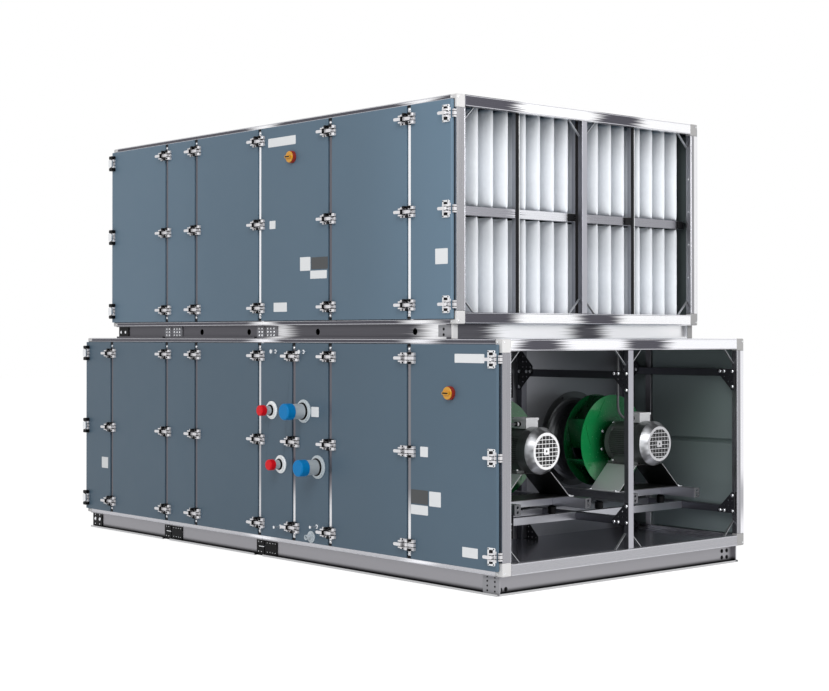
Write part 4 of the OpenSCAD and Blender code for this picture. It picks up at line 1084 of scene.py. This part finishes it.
@dataclass
class Casing:
    """Frame bars, corners, panels and base frames, with their screws and profile lips."""

    bar: float = 0.066
    corner_screw: float = 0.0055
    screw_inset: tuple[float, float, float] = (0.042, 0.014, 0.018)
    lip: float = 0.0022
    corner: float = 0.056
    post_foot: float = 0.076
    base_face: float = -0.951
    base_inset: float = 0.045
    joints: Span = (0.0, -1.098)
    middle_z: float = 1.442
    open_end: float = 2.142

    def dress(self) -> None:
        """Finish the CAD nodes of the casing."""
        dress(LOWER_BASE, "lower_base_beams", "lower_base_crossbars")
        dress(MIDDLE_BASE, "middle_base_beams", "middle_base_crossbars")
        dress(BRACKET, "base_brackets")
        dress(LOWER_BARS, "lower_frame", edge=0.003)
        dress(UPPER_BARS, "upper_frame", edge=0.003)
        dress(CORNER, "corner_pieces", edge=0.005)
        dress(STRIPS, "lower_posts", "upper_posts", edge=0.003)
        dress(BAY_POST, "bay_posts", edge=0.002)
        dress(BARE_ZINC, "corner_braces")
        dress(FLOOR_ZINC, "floor_panels")
        dress(ROOF_PAINT, "roof_panels")
        dress(REAR_PAINT, "rear_panels", edge=0.003)
        dress(END_PAINT, "end_panels", edge=0.002)
        dress(FRONT_PAINT, "lower_service_panels", edge=0.0025)
        dress(FRONT_PAINT, "upper_service_panels", "fan_door", edge=0.003)

    def build(self) -> None:
        """Add corner screws, rail lips, the base frames' bolts and the middle one's corners."""
        self.corner_screws().piece("corner_screws", BOLT)
        self.rail_lips().piece("rail_lips", LIPS)
        self.base_bolts().piece("base_bolts", BOLT)
        self.base_pits().piece("base_dark_bolts", RUBBER)
        corners = spread(1.801, [FRONT + 0.024, BACK - 0.024], self.middle_z)
        Surface().plates((0.046, 0.082, 0.003, 0.003, 0.001), corners, Facing.OPEN_END).piece(
            "middle_base_corners", CORNER)

    def corner_screws(self) -> Surface:
        """Two screws on each corner piece, on its long face and on its end face."""
        made = Surface()
        along, across, up = self.screw_inset
        sides = [FRONT + across, BACK - across]
        for tier in TIERS:
            inner = [tier.left + along, tier.right - along]
            for facing, x, y in ((Facing.OPEN_END, tier.right, sides),
                                 (Facing.CLOSED_END, tier.left, sides),
                                 (Facing.FRONT, inner, FRONT), (Facing.REAR, inner, BACK)):
                made.fasten(Head.PAN, self.corner_screw, spread(x, y, tier.levels(up)), facing)
        return made

    def rail_lips(self) -> Surface:
        """Half-round lips along the rails' outer edges and round the end openings."""
        made = Surface()
        outline = rounded(2 * self.lip, 2 * self.lip, 0.95 * self.lip, 2)
        inner = self.bar - 0.005
        posts, reach = [FRONT + inner, BACK - inner], self.bar + 0.001
        for tier in TIERS:
            rails, bars = tier.levels(0.004, 0.024), tier.levels(0.006, inner)
            foot, head = tier.levels(self.post_foot)
            for y in (FRONT, BACK):
                made.add(rods(spread(tier.left + self.corner, y, rails),
                              spread(tier.right - self.corner, y, rails), outline, Y_WAY, Z_WAY))
            for x in (tier.left, tier.right):
                made.add(rods(spread(x, FRONT + reach, bars), spread(x, BACK - reach, bars),
                              outline, X_WAY, Z_WAY))
                made.add(rods(spread(x, posts, foot), spread(x, posts, head),
                              outline, X_WAY, Y_WAY))
        return made

    def base_bolts(self) -> Surface:
        """Bright bolts on the bracket plates of both base frames, and the bolts across joints."""
        made = Surface()
        low_end, high_end = LOWER.left + self.base_inset, UPPER.left + self.base_inset
        rows = [(Head.HEX, 0.0085, low_end, (0.034, 0.096), 0.062),
                (Head.PAN, 0.0045, low_end, (0.034, 0.096), (0.026, 0.094)),
                (Head.HEX, 0.0075, high_end, (0.030, 0.090), self.middle_z)]
        for joint in self.joints:
            rows += [(Head.PAN, 0.0030, joint, (0.028, 0.058, 0.088, 0.114), (0.028, 0.088)),
                     (Head.PAN, 0.0034, joint, (-0.066, -0.036), (0.026, 0.090)),
                     (Head.HEX, 0.0046, joint, (-0.062, -0.030, 0.032, 0.066, 0.100),
                      (1.420, self.middle_z, 1.464))]
        bar = rounded(0.007, 0.007, 0.0034, 3)
        rear_face = FRONT + BACK - self.base_face
        for face, facing in ((self.base_face, Facing.FRONT), (rear_face, Facing.REAR)):
            for head, radius, start, shifts, heights in rows:
                spots = spread(start + np.array(shifts), face, heights)
                made.fasten(head, radius, spots, facing)
            ends = (spread(np.array(self.joints) - gap, face, 0.060) for gap in (0.058, 0.004))
            made.add(rods(*ends, bar, Y_WAY, Z_WAY))
        return made

    def base_pits(self) -> Surface:
        """Dark bolts on the open ends of both base frames, and on the plates next to them."""
        made = Surface()
        for x, sides, heights in ((self.open_end, [1.000, 1.048], [0.036, 0.076]),
                                  (self.open_end, [-0.918, -0.878], 0.030)):
            made.fasten(Head.HEX, 0.009, spread(x, sides, heights), Facing.OPEN_END)
        for head, radius, x, heights in (
                (Head.HEX, 0.006, 1.716, [1.424, 1.456]),
                (Head.PAN, 0.0058, [2.072, 2.132], [0.024, 0.050, 0.076, 0.100])):
            made.fasten(head, radius, spread(x, self.base_face, heights))
        return made


@dataclass
class ServiceSide:
    """Clamps, seals, strip ends and blank plates on the service side.

    A clamp's latch sits to the left of its seam and its hinge to the right. Blank plates are
    given by X, Z, width and height.
    """

    seam_half: float = 0.020
    lug_face: float = -1.017
    foot_face: float = -1.003
    strip_face: float = -0.988
    edge_depth: float = 0.0105
    edge_middle: float = 0.035
    hinge_in: float = 0.044
    latch_in: float = 0.023
    lug_in: float = 0.016
    knuckle: tuple[float, ...] = (0.040, 0.056, 0.010, 0.014, 0.004)
    hinge_pad: tuple[float, ...] = (0.044, 0.024, 0.006, 0.030, 0.003)
    block: tuple[float, ...] = (0.019, 0.015, 0.003, 0.0395, 0.002)
    slip: tuple[float, ...] = (0.007, 0.030, 0.003, 0.0485, 0.002)
    block_up: float = 0.027
    seal: float = 0.0024
    seal_out: float = 0.0012
    lug_screw: float = 0.0052
    latch_screw: float = 0.0042
    strip_screw: float = 0.009
    edge_gap: float = 0.002
    white_plates: tuple = ((0.242, 2.645, 0.290, 0.056), (0.143, 2.122, 0.062, 0.052),
                           (0.486, 1.863, 0.105, 0.085), (0.620, 1.794, 0.165, 0.050),
                           (0.226, 1.598, 0.140, 0.058), (1.747, 1.865, 0.105, 0.088),
                           (-1.922, 0.492, 0.088, 0.080), (0.586, 0.949, 0.074, 0.062))
    grey_plates: tuple = ((0.630, 1.864, 0.165, 0.074),)
    door_white: tuple = ((1.976, 1.293, 0.240, 0.050), (1.599, 0.758, 0.066, 0.058),
                         (1.692, 0.495, 0.098, 0.084), (1.559, 0.425, 0.146, 0.054),
                         (1.981, 0.223, 0.125, 0.056))
    door_grey: tuple = ((1.559, 0.499, 0.146, 0.080),)

    def dress(self) -> None:
        """Finish the clamps and the door's fittings."""
        dress(LOWER_CLAMP, "lower_clamps", "fan_door_fittings", "fan_door_brackets")
        dress(UPPER_CLAMP, "upper_clamps")

    def build(self) -> None:
        """Add clamp screws, black blocks of painted shade, strip ends, seals, blank and edge plates
        and hinges.
        """
        for tier in TIERS:
            for name, made, finish in (("clamp_screws", self.clamp_screws(tier), RUBBER),
                                       ("clamp_shade_blocks", self.clamp_shade_blocks(tier), RUBBER),
                                       ("strip_ends", self.strip_ends(tier), RUBBER),
                                       ("strip_screws", self.strip_screws(tier), BOLT),
                                       ("panel_seals", self.seals(tier), RUBBER)):
                made.piece(f"{tier.name}_{name}", finish)
        for name, body, white, grey in (
                ("blank", "casing", self.white_plates, self.grey_plates),
                ("door", "fan_door", self.door_white, self.door_grey)):
            self.blanks(white).piece(f"{name}_plates_white", PLATE_WHITE, body)
            self.blanks(grey).piece(f"{name}_plates_grey", PLATE_GREY, body)
        self.door_screws().piece("fan_door_screws", RUBBER, "fan_door")
        for name, make, finish in (("edge_plates", self.edge_plates, BOLT),
                                   ("edge_pits", self.edge_pits, RUBBER)):
            make(UPPER).piece(f"upper_{name}", finish)
            make(LOWER).piece(f"fan_door_{name}", finish, "fan_door")
        self.hinges(self.knuckle, self.lug_face).piece("left_hinge_knuckles", BOLT)
        self.hinges(self.hinge_pad, FACE, -0.042, 0.042).piece("left_hinge_pads", RUBBER)

    def edge_plates(self, tier: Tier) -> Surface:
        """Bright square plates over the latches' feet on the open end's panel edge."""
        return Surface().plates((0.056, 0.098, 0.004, self.edge_depth, 0.001),
                                spread(tier.edge() - self.edge_middle, FACE, tier.clamps()))

    def edge_pits(self, tier: Tier) -> Surface:
        """Two black blocks of painted shade and four small screw pits on each edge plate."""
        face, edge = FACE - self.edge_depth, tier.edge()
        made = Surface().plates((0.020, 0.024, 0.003, 0.008, 0.002),
                                spread(edge - 0.034, face, tier.clamps(-0.026, 0.026)))
        return made.fasten(Head.PAN, self.latch_screw, spread(
            edge - np.array([0.014, 0.056]), face, tier.clamps(-0.042, 0.042)))

    def hinges(self, size: tuple[float, ...], face: float, *shifts: float) -> Surface:
        """Plates on the hinges of the closed end's panel edge, shifted up from each clamp."""
        made = Surface()
        for tier in TIERS:
            made.plates(size, spread(tier.left + self.hinge_in, face, tier.clamps(*shifts)))
        return made

    def latch_screws(self, edges: Any, tier: Tier) -> Surface:
        """Two screws on a latch's foot, above and below its cheeks, for right edges at these X."""
        return Surface().fasten(Head.SOCKET, self.latch_screw, spread(
            edges - self.latch_in, self.foot_face, tier.clamps(-0.0265, 0.0265)))

    def clamp_screws(self, tier: Tier) -> Surface:
        """Screw pits of the fixed clamps: latch feet, hinge lugs and the left edge's hinges."""
        latches = tier.seams() - self.seam_half
        if not tier.doors:
            latches = np.append(latches, tier.edge() - self.edge_gap)
        lugs = np.append(tier.seams()[tier.doors:] + self.seam_half,
                         tier.left + tier.edge_show + self.edge_gap) + self.lug_in
        return self.latch_screws(latches, tier).fasten(
            Head.SOCKET, self.lug_screw, spread(lugs, self.lug_face, tier.clamps(-0.022, 0.022)))

    def door_screws(self) -> Surface:
        """Screw pits of the latches on the fan door's free edge, and black blocks of painted shade
        on its hinge leaves.
        """
        blocks = spread(LOWER.seams()[0] + 0.032, self.strip_face - 0.012,
                        LOWER.clamps(-self.block_up, self.block_up))
        return self.latch_screws(LOWER.edge() - self.edge_gap, LOWER).plates(
            (0.019, 0.015, 0.003, 0.0275, 0.002), blocks)

    def clamp_shade_blocks(self, tier: Tier) -> Surface:
        """Black blocks of painted shade at each clamp: two above its hook, one below, one behind
        the lever.
        """
        made, seams = Surface(), tier.seams()[tier.doors:]
        for size, across, up in ((self.block, -0.014, self.block_up),
                                 (self.block, 0.032, self.block_up),
                                 (self.block, 0.012, -self.block_up), (self.slip, -0.027, 0.0)):
            made.plates(size, spread(seams + across, self.strip_face, tier.clamps(up)))
        return made

    def on_strips(self, tier: Tier, inset: float) -> Array:
        """Places on every seam strip, the inset from its foot and from its head."""
        return spread(tier.seams(), self.strip_face, tier.levels(tier.rail_show + inset))

    def strip_ends(self, tier: Tier) -> Surface:
        """Black end pieces at the top and bottom of every seam strip."""
        return Surface().plates((0.026, 0.015, 0.003, 0.006, 0.0015), self.on_strips(tier, 0.008))

    def strip_screws(self, tier: Tier) -> Surface:
        """Bright screws that hold the strips, next to their end pieces."""
        return Surface().fasten(Head.PAN, self.strip_screw, self.on_strips(tier, 0.028))

    def seals(self, tier: Tier) -> Surface:
        """Half-round seals round the fixed panels: rectangles that swell by the bead's outline."""
        angle = np.linspace(0, pi, 6)
        out = self.seal * np.cos(angle) + self.seal_out
        low, high = tier.levels(tier.rail_show)
        panels = tier.panels()[tier.doors:]
        left, right = panels[:, :1] - out, panels[:, 1:] + out
        x = np.stack([left, right, right, left], -1)
        z = np.broadcast_to(np.stack([low - out, low - out, high + out, high + out], -1), x.shape)
        y = np.broadcast_to((FRONT - self.seal * np.sin(angle))[None, :, None], x.shape)
        return Surface().add(np.stack([x, y, z], -1), caps=False)

    def blanks(self, places: tuple) -> Surface:
        """Thin blank plates on the panels' face."""
        made = Surface()
        for x, z, width, height in places:
            made.plates((width, height, 0.004, 0.0014, 0.0005), [x, FACE, z])
        return made


@dataclass
class FanBay:
    """Two plug fans on their frames in the open bay, with bolts and motor cables."""

    wheel_back: float = 1.618
    hub_ring: float = 0.110
    hub_turn: float = 0.45
    cone_face: float = 1.286
    cone_ring: float = 0.283
    gusset_faces: tuple = ((-0.881, Facing.REAR), (0.0535, Facing.FRONT), (1.041, Facing.FRONT))
    gusset_x: Span = (1.293, 2.206)
    gusset_z: Span = (0.313, 1.210)
    gusset_holes: Spans = ((0.014, 0.014), (0.078, 0.014), (0.110, 0.014), (0.014, 0.110))
    gland: tuple[float, float, float] = (1.828, -0.074, 0.907)
    gland_face: float = -0.0485
    dome_out: float = 0.0256
    nut: Spans = ((0.0095, 0.0), (0.0165, 0.0), (0.0165, 0.010), (0.0150, 0.012), (0.0095, 0.012))
    dome: Spans = ((0.0085, 0.0), (0.0145, 0.0), (0.0140, 0.006), (0.0105, 0.012), (0.0085, 0.012))
    cable: float = 0.016
    roof: float = 1.360
    route: Spans = ((0.0, 0.0), (-0.025, 0.0), (-0.050, 0.004), (-0.075, 0.016), (-0.096, 0.036),
                    (-0.108, 0.062), (-0.112, 0.092), (-0.112, 0.140), (-0.112, 0.200),
                    (-0.112, 0.260), (-0.112, 0.320))

    def dress(self) -> None:
        """Finish the CAD nodes of the fan bay."""
        dress(WALL_ZINC, "fan_wall")
        dress(GUSSET, "gusset_plates")
        dress(DARK_ZINC, "fan_wall_posts", "fan_bay_bars", edge=0.002)
        dress(CHANNEL_ZINC, "support_bars", "fan_frame_channels", "fan_frame_crossbars",
              edge=0.0015)
        dress(PEDESTAL, "motor_pedestals")
        dress(CONE_ZINC, "inlet_cones")
        dress(RUBBER, "vibration_mounts")
        dress(MOTOR, "fan_motors")
        dress(MOTOR_BOX, "motor_terminal_boxes", edge=0.003)
        for number, wheel in enumerate(WHEELS, start=1):
            dress(wheel, f"fan_{number}_impeller")

    def cables(self) -> None:
        """Motor cables from the terminal boxes up to the roof, on one smooth curve each."""
        gland_x, gland_y, gland_z = self.gland
        for number, axis in enumerate(FAN_AXES, start=1):
            points = np.array([(gland_x, axis + gland_y + y, gland_z + z) for y, z in self.route]
                              + [(gland_x, axis + gland_y + self.route[-1][0], self.roof)])
            path = smooth_path(points, 5)
            made = Surface().add(hose(path, self.cable / 2)).piece(
                f"motor_cable_{number}_sheath", CABLE)
            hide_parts(f"motor_cable_{number}")

    def build(self) -> None:
        """Add gusset, foot and cone bolts, gland nuts and the impellers' hub bolts."""
        self.gusset_bolts().piece("gusset_bolts", BOLT)
        self.foot_bolts().piece("motor_foot_bolts", BOLT)
        cones = np.vstack([self.ring(self.cone_face, axis, self.cone_ring, 8, pi / 8)
                           for axis in FAN_AXES])
        Surface().fasten(Head.HEX, 0.007, cones, Facing.OPEN_END).piece("inlet_cone_bolts", GUSSET)
        self.gland_nuts().piece("cable_glands", RUBBER)
        for number, axis in enumerate(FAN_AXES, start=1):
            hub = self.ring(self.wheel_back, axis, self.hub_ring, 6, self.hub_turn)
            Surface().fasten(Head.HEX, 0.008, hub, Facing.OPEN_END).piece(
                f"fan_{number}_hub_bolts", BOLT, f"fan_{number}")

    def ring(self, x: float, axis: float, radius: float, count: int, first: float) -> Array:
        """Places round a fan's axis: (x, axis + r cos a, height + r sin a), a from first."""
        angle = np.arange(count) * 2 * pi / count + first
        return np.column_stack([np.full(count, x), axis + radius * np.cos(angle),
                                FAN_HEIGHT + radius * np.sin(angle)])

    def gusset_bolts(self) -> Surface:
        """Bright bolts on the gusset plates, in four holes of each plate's pattern."""
        made = Surface()
        inwards = np.array([[1], [-1]])
        across, up = np.array(self.gusset_holes).T
        x = np.array(self.gusset_x)[:, None] + inwards * across
        z = np.array(self.gusset_z)[:, None] + inwards * up
        x, z = (side.ravel() for side in np.broadcast_arrays(x[:, None], z[None]))
        for y, facing in self.gusset_faces:
            made.fasten(Head.HEX, 0.0075, np.column_stack([x, np.full(x.size, y), z]), facing)
        return made

    def foot_bolts(self) -> Surface:
        """Bolts on the motors' feet and on the pedestals' flanges."""
        made = Surface()
        for axis in FAN_AXES:
            for radius, x, reach, z in ((0.010, [1.857, 1.702], 0.096, 0.642),
                                        (0.008, [1.902, 1.700], 0.293, 0.477)):
                made.fasten(Head.HEX, radius, spread(x, [axis - reach, axis + reach], z), Facing.UP)
        return made

    def gland_nuts(self) -> Surface:
        """Six-sided gland nuts where the cables enter the terminal boxes, and their domes."""
        spots = spread(self.gland[0], np.array(FAN_AXES) + self.gland_face, self.gland[2])
        made = Surface().add(Facing.FRONT.at(turned(self.nut, 6), spots), wrap_rows=True)
        return made.add(Facing.FRONT.at(turned(self.dome, 20), spots - self.dome_out * Y_WAY),
                        wrap_rows=True)


@dataclass
class FilterBank:
    """Bag filters in the upper tier's open end: cloth pockets, divider strips of painted shade,
    rail blocks.
    """

    header: float = 1.252
    length: float = 0.513
    mouth: float = 0.0525
    tip: float = 0.029
    first_y: float = -0.930
    cell: float = 0.505
    bar: float = 0.022
    clear: float = 0.003
    pockets: int = 4
    columns: int = 4
    rows: Span = (1.524, 2.155)
    row_height: float = 0.579
    front: float = 1.772
    cloth: float = 0.0016
    block_in: float = 0.050
    block_up: float = 0.026
    steps: int = 26
    tall: int = 40
    post: Span = (1.828, 1.064)

    def dress(self) -> None:
        """Finish the bank's rail, dividers and header plates."""
        dress(RAIL_BARS, "filter_rail", edge=0.002)
        dress(DIVIDER, "filter_dividers", edge=0.002)
        dress(HEADER, "filter_headers")

    def pocket(self, centre: float, floor: float, turn: float) -> Array:
        """One pocket as a U-shaped sheet, from its mouth round the tip and back.

        The half width is (mouth to tip, linear in x) times (1 - (x / length)^16)^(1/2), drawn in
        towards the sewn top and bottom by (1 - |2v - 1|^14)^(1/2), with three shallow waists and
        a slow ripple.

        Args:
            centre: Y of the pocket's middle.
            floor: Height of its lower edge.
            turn: Phase of the ripple, which differs from pocket to pocket.

        Returns:
            Points with a row for each step along the U and a column for each height.
        """
        reach = 1 - (1 - np.linspace(0, 1, self.steps)) ** 1.9
        share = np.concatenate([reach, reach[-2::-1]])[:, None]
        side = np.concatenate([-np.ones(self.steps), np.ones(self.steps - 1)])[:, None]
        v = np.linspace(0, 1, self.tall)[None, :]
        sewn = np.sqrt(np.clip(1 - np.abs(2 * v - 1) ** 14, 0, 1))
        waist = 1 - 0.05 * np.exp(-((v[..., None] - [0.25, 0.5, 0.75]) / 0.03) ** 2).sum(-1)
        ripple = 1 + 0.035 * np.sin(2 * pi * (2.3 * v + 0.8 * share) + turn) * side
        width = (self.mouth + (self.tip - self.mouth) * share) * np.sqrt(1 - share ** 16)
        y = centre + side * width * sewn * waist * ripple
        x = np.broadcast_to(self.header + self.length * share, y.shape)
        z = np.broadcast_to(floor + self.clear + v * (self.row_height - 2 * self.clear), y.shape)
        return np.stack([x, y, z], -1)

    def build(self) -> None:
        """Add each cell's cloth pockets, the rail's blocks, divider strips of painted shade and
        post screws.
        """
        pitch = (self.cell - self.bar - 2 * self.clear) / self.pockets
        cells = [(floor, column) for floor in self.rows for column in range(self.columns)]
        for number, (floor, column) in enumerate(cells, start=1):
            edge = self.first_y + column * self.cell + self.bar / 2 + self.clear
            bags = np.stack([self.pocket(edge + (p + 0.5) * pitch, floor, 1.7 * p + number)
                             for p in range(self.pockets)])
            made = Surface().add(bags, wrap_columns=False, caps=False).piece(
                f"filter_pockets_{number}", CLOTH, crease=180.0)
            wall = made.modifiers.new("cloth", "SOLIDIFY")
            wall.thickness, wall.offset = self.cloth, 0.0
            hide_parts("filter_pockets")
        self.rail_blocks().piece("filter_rail_blocks", BLACK_PLATE)
        # Black strips over the dividers' fronts are painted shade of the gaps between the cells
        self.divider_strips(0.0, 0.023, 0.004).piece("filter_divider_shade_strips", RUBBER)
        self.divider_strips(0.0145, 0.005, 0.006).piece("filter_divider_edges", BOLT)
        screws = spread(*self.post, [1.79, 2.0, 2.21, 2.42])
        Surface().fasten(Head.PAN, 0.006, screws).piece("upper_post_screws", BOLT)

    def on_bars(self, bars: tuple[int, ...], shift: float, height: float) -> Array:
        """Places on the bank's front, shift to the far side of these bars' middle lines."""
        return spread(self.front, self.first_y + self.cell * np.array(bars) + shift, height)

    def divider_strips(self, shift: float, width: float, depth: float) -> Surface:
        """Strips over the dividers' fronts, shift beside the middle line, as tall as both rows."""
        low, high = self.rows[0], self.rows[1] + self.row_height
        return Surface().plates((width, high - low - 0.004, 0.0015, depth, 0.0005),
                                self.on_bars((1, 2, 3), shift, (low + high) / 2), Facing.OPEN_END)

    def rail_blocks(self) -> Surface:
        """Dark end blocks on the rail, left of two dividers and of the far wall."""
        height = self.rows[0] + self.row_height + self.block_up
        spots = self.on_bars((2, 3, 4), -self.block_in, height)
        return Surface().plates((0.052, 0.046, 0.003, 0.012, 0.002), spots, Facing.OPEN_END)


@dataclass
class CoilConnections:
    """Capped coil pipes with their collars, the drain, the air vents and the drain cocks."""

    heating: Spans = ((0.137, 0.945), (0.233, 0.607))
    cooling: Spans = ((0.472, 0.950), (0.614, 0.612))
    radii: Span = (0.028, 0.047)
    collar_face: float = -1.009
    lip: Spans = ((0.0003, 0.0), (0.008, 0.0), (0.007, 0.003), (0.005, 0.007), (0.0003, 0.009))

    def dress(self) -> None:
        """Finish the CAD nodes of the connections."""
        dress(PIPE, "heating_pipes", "cooling_pipes")
        dress(CHROME, "air_vents", edge=0.0015)
        dress(COLLAR, "pipe_collars")
        dress(RED_CAP, "heating_caps")
        dress(BLUE_CAP, "cooling_caps")
        dress(DRAIN, "drain_trap", edge=0.002)

    def build(self) -> None:
        """Add the black lip seals round the pipes, on the collars' faces."""
        made = Surface()
        for places, pipe in zip((self.heating, self.cooling), self.radii):
            ring = turned(np.array(self.lip) + [pipe, 0.0], 48)
            spots = np.array([(x, self.collar_face, z) for x, z in places])
            made.add(Facing.FRONT.at(ring, spots), wrap_rows=True)
        made.piece("pipe_seals", RUBBER)


@dataclass
class Isolators:
    """Isolator switches on the fan door and on an upper panel."""

    lower: Span = (1.822, 1.098)
    upper: Span = (0.353, 2.537)
    front: float = -1.038
    skirt_face: float = -1.0183
    skirt: Spans = ((0.0355, 0.0), (0.0355, 0.004), (0.0335, 0.006), (0.0, 0.006))

    def dress(self) -> None:
        """Finish the switches' housings and knobs."""
        dress(SWITCH_RED, "lower_switch_base", "upper_switch_base", edge=0.002)
        dress(SWITCH_YELLOW, "lower_switch_knob", "upper_switch_knob", edge=0.002)

    def build(self) -> None:
        """Add a round skirt and a dark pointer bar on each knob."""
        skirt = turned(self.skirt, 40)
        for body, (x, z) in (("lower_switch", self.lower), ("upper_switch", self.upper)):
            Surface().add(Facing.FRONT.at(skirt, np.array([x, self.skirt_face, z]))).piece(
                f"{body}_skirt", SWITCH_YELLOW, body)
            Surface().plates((0.044, 0.008, 0.002, 0.0012, 0.0005), [x, self.front, z]).piece(
                f"{body}_pointer", RUBBER, body)


@dataclass
class Studio:
    """Camera, pale floor and soft light."""

    place: tuple[float, float, float] = (8.561, -7.144, 1.421)
    pitch: float = 90.42
    heading: float = 48.913
    lens: float = 70.947
    sensor: float = 36.0
    shift: Span = (0.00094, -0.02685)
    lamps: tuple = (("key_light", (5.5, -6.5, 6.5), 5.0, 330.0),
                    ("end_light", (9.5, 1.5, 4.0), 4.0, 260.0))
    aim: tuple[float, float, float] = (0.6, 0.0, 1.2)
    ambient: float = 0.55
    floor_reach: float = 40.0
    floor_glow: float = 0.66
    floor_white: float = 1.3

    def build(self) -> None:
        """Make the camera, the world, the lamps and the floor."""
        scene = bpy.context.scene
        scene.view_settings.view_transform = "Standard"
        lens = bpy.data.cameras.new("camera")
        lens.sensor_width, lens.lens = self.sensor, self.lens
        lens.shift_x, lens.shift_y = self.shift
        camera = bpy.data.objects.new("camera", lens)
        camera.location = self.place
        camera.rotation_euler = (radians(self.pitch), 0.0, radians(self.heading))
        scene.collection.objects.link(camera)
        scene.camera = camera
        self.world(scene)
        for lamp in self.lamps:
            self.lamp(*lamp)
        self.floor()

    def seen(self, graph: Graph) -> Value:
        """One on rays that come from the camera, a reflection or a clear piece, else zero."""
        camera, glossy, clear = (graph.node("ShaderNodeLightPath", output=name) for name in (
            "Is Camera Ray", "Is Glossy Ray", "Is Transmission Ray"))
        return (camera + glossy + clear) > 0.5

    def world(self, scene: bpy.types.Scene) -> None:
        """White surroundings where they are seen, and a lower even light on the unit."""
        world = bpy.data.worlds.new("studio")
        world.use_nodes = True
        graph = Graph(world.node_tree)
        light = graph.node("ShaderNodeBackground", inputs={
            "Color": (1.0, 1.0, 1.0, 1.0),
            "Strength": self.ambient + (1 - self.ambient) * self.seen(graph)})
        graph.node("ShaderNodeOutputWorld", inputs={"Surface": light})
        scene.world = world

    def lamp(self, name: str, place: tuple, size: float, power: float) -> None:
        """A square soft lamp that faces the unit's middle."""
        light = bpy.data.lights.new(name, "AREA")
        light.size, light.energy = size, power
        lamp = bpy.data.objects.new(name, light)
        lamp.location = place
        aim = np.array(self.aim) - np.array(place)
        lamp.rotation_euler = Vector(aim.tolist()).to_track_quat("-Z", "Y").to_euler()
        bpy.context.scene.collection.objects.link(lamp)

    def floor(self) -> None:
        """Pale floor that glows towards white where it is seen and keeps a faint shadow."""
        reach = self.floor_reach
        mesh = bpy.data.meshes.new("studio_floor")
        corners = [(-reach, -reach, 0), (reach, -reach, 0), (reach, reach, 0), (-reach, reach, 0)]
        mesh.from_pydata(corners, [], [(0, 1, 2, 3)])
        pale = bpy.data.materials.new("studio_floor")
        pale.use_nodes = True
        graph = Graph(pale.node_tree)
        matt = graph.node("ShaderNodeBsdfDiffuse", inputs={"Color": (0.9, 0.9, 0.9, 1.0)})
        glow = graph.node("ShaderNodeEmission", inputs={"Strength": self.floor_white})
        both = graph.node("ShaderNodeMixShader", inputs={
            0: self.floor_glow * self.seen(graph), 1: matt, 2: glow})
        graph.node("ShaderNodeOutputMaterial", inputs={"Surface": both})
        mesh.materials.append(pale)
        floor = bpy.data.objects.new("studio_floor", mesh)
        bpy.context.scene.collection.objects.link(floor)


def main() -> None:
    """Build the studio and every sub-assembly."""
    logging.basicConfig(level=logging.INFO, format="%(message)s")
    Studio().build()
    bay = FanBay()
    bay.cables()
    for assembly in (Casing(), ServiceSide(), bay, FilterBank(), CoilConnections(), Isolators()):
        assembly.dress()
        assembly.build()


if __name__ == "__main__":
    main()
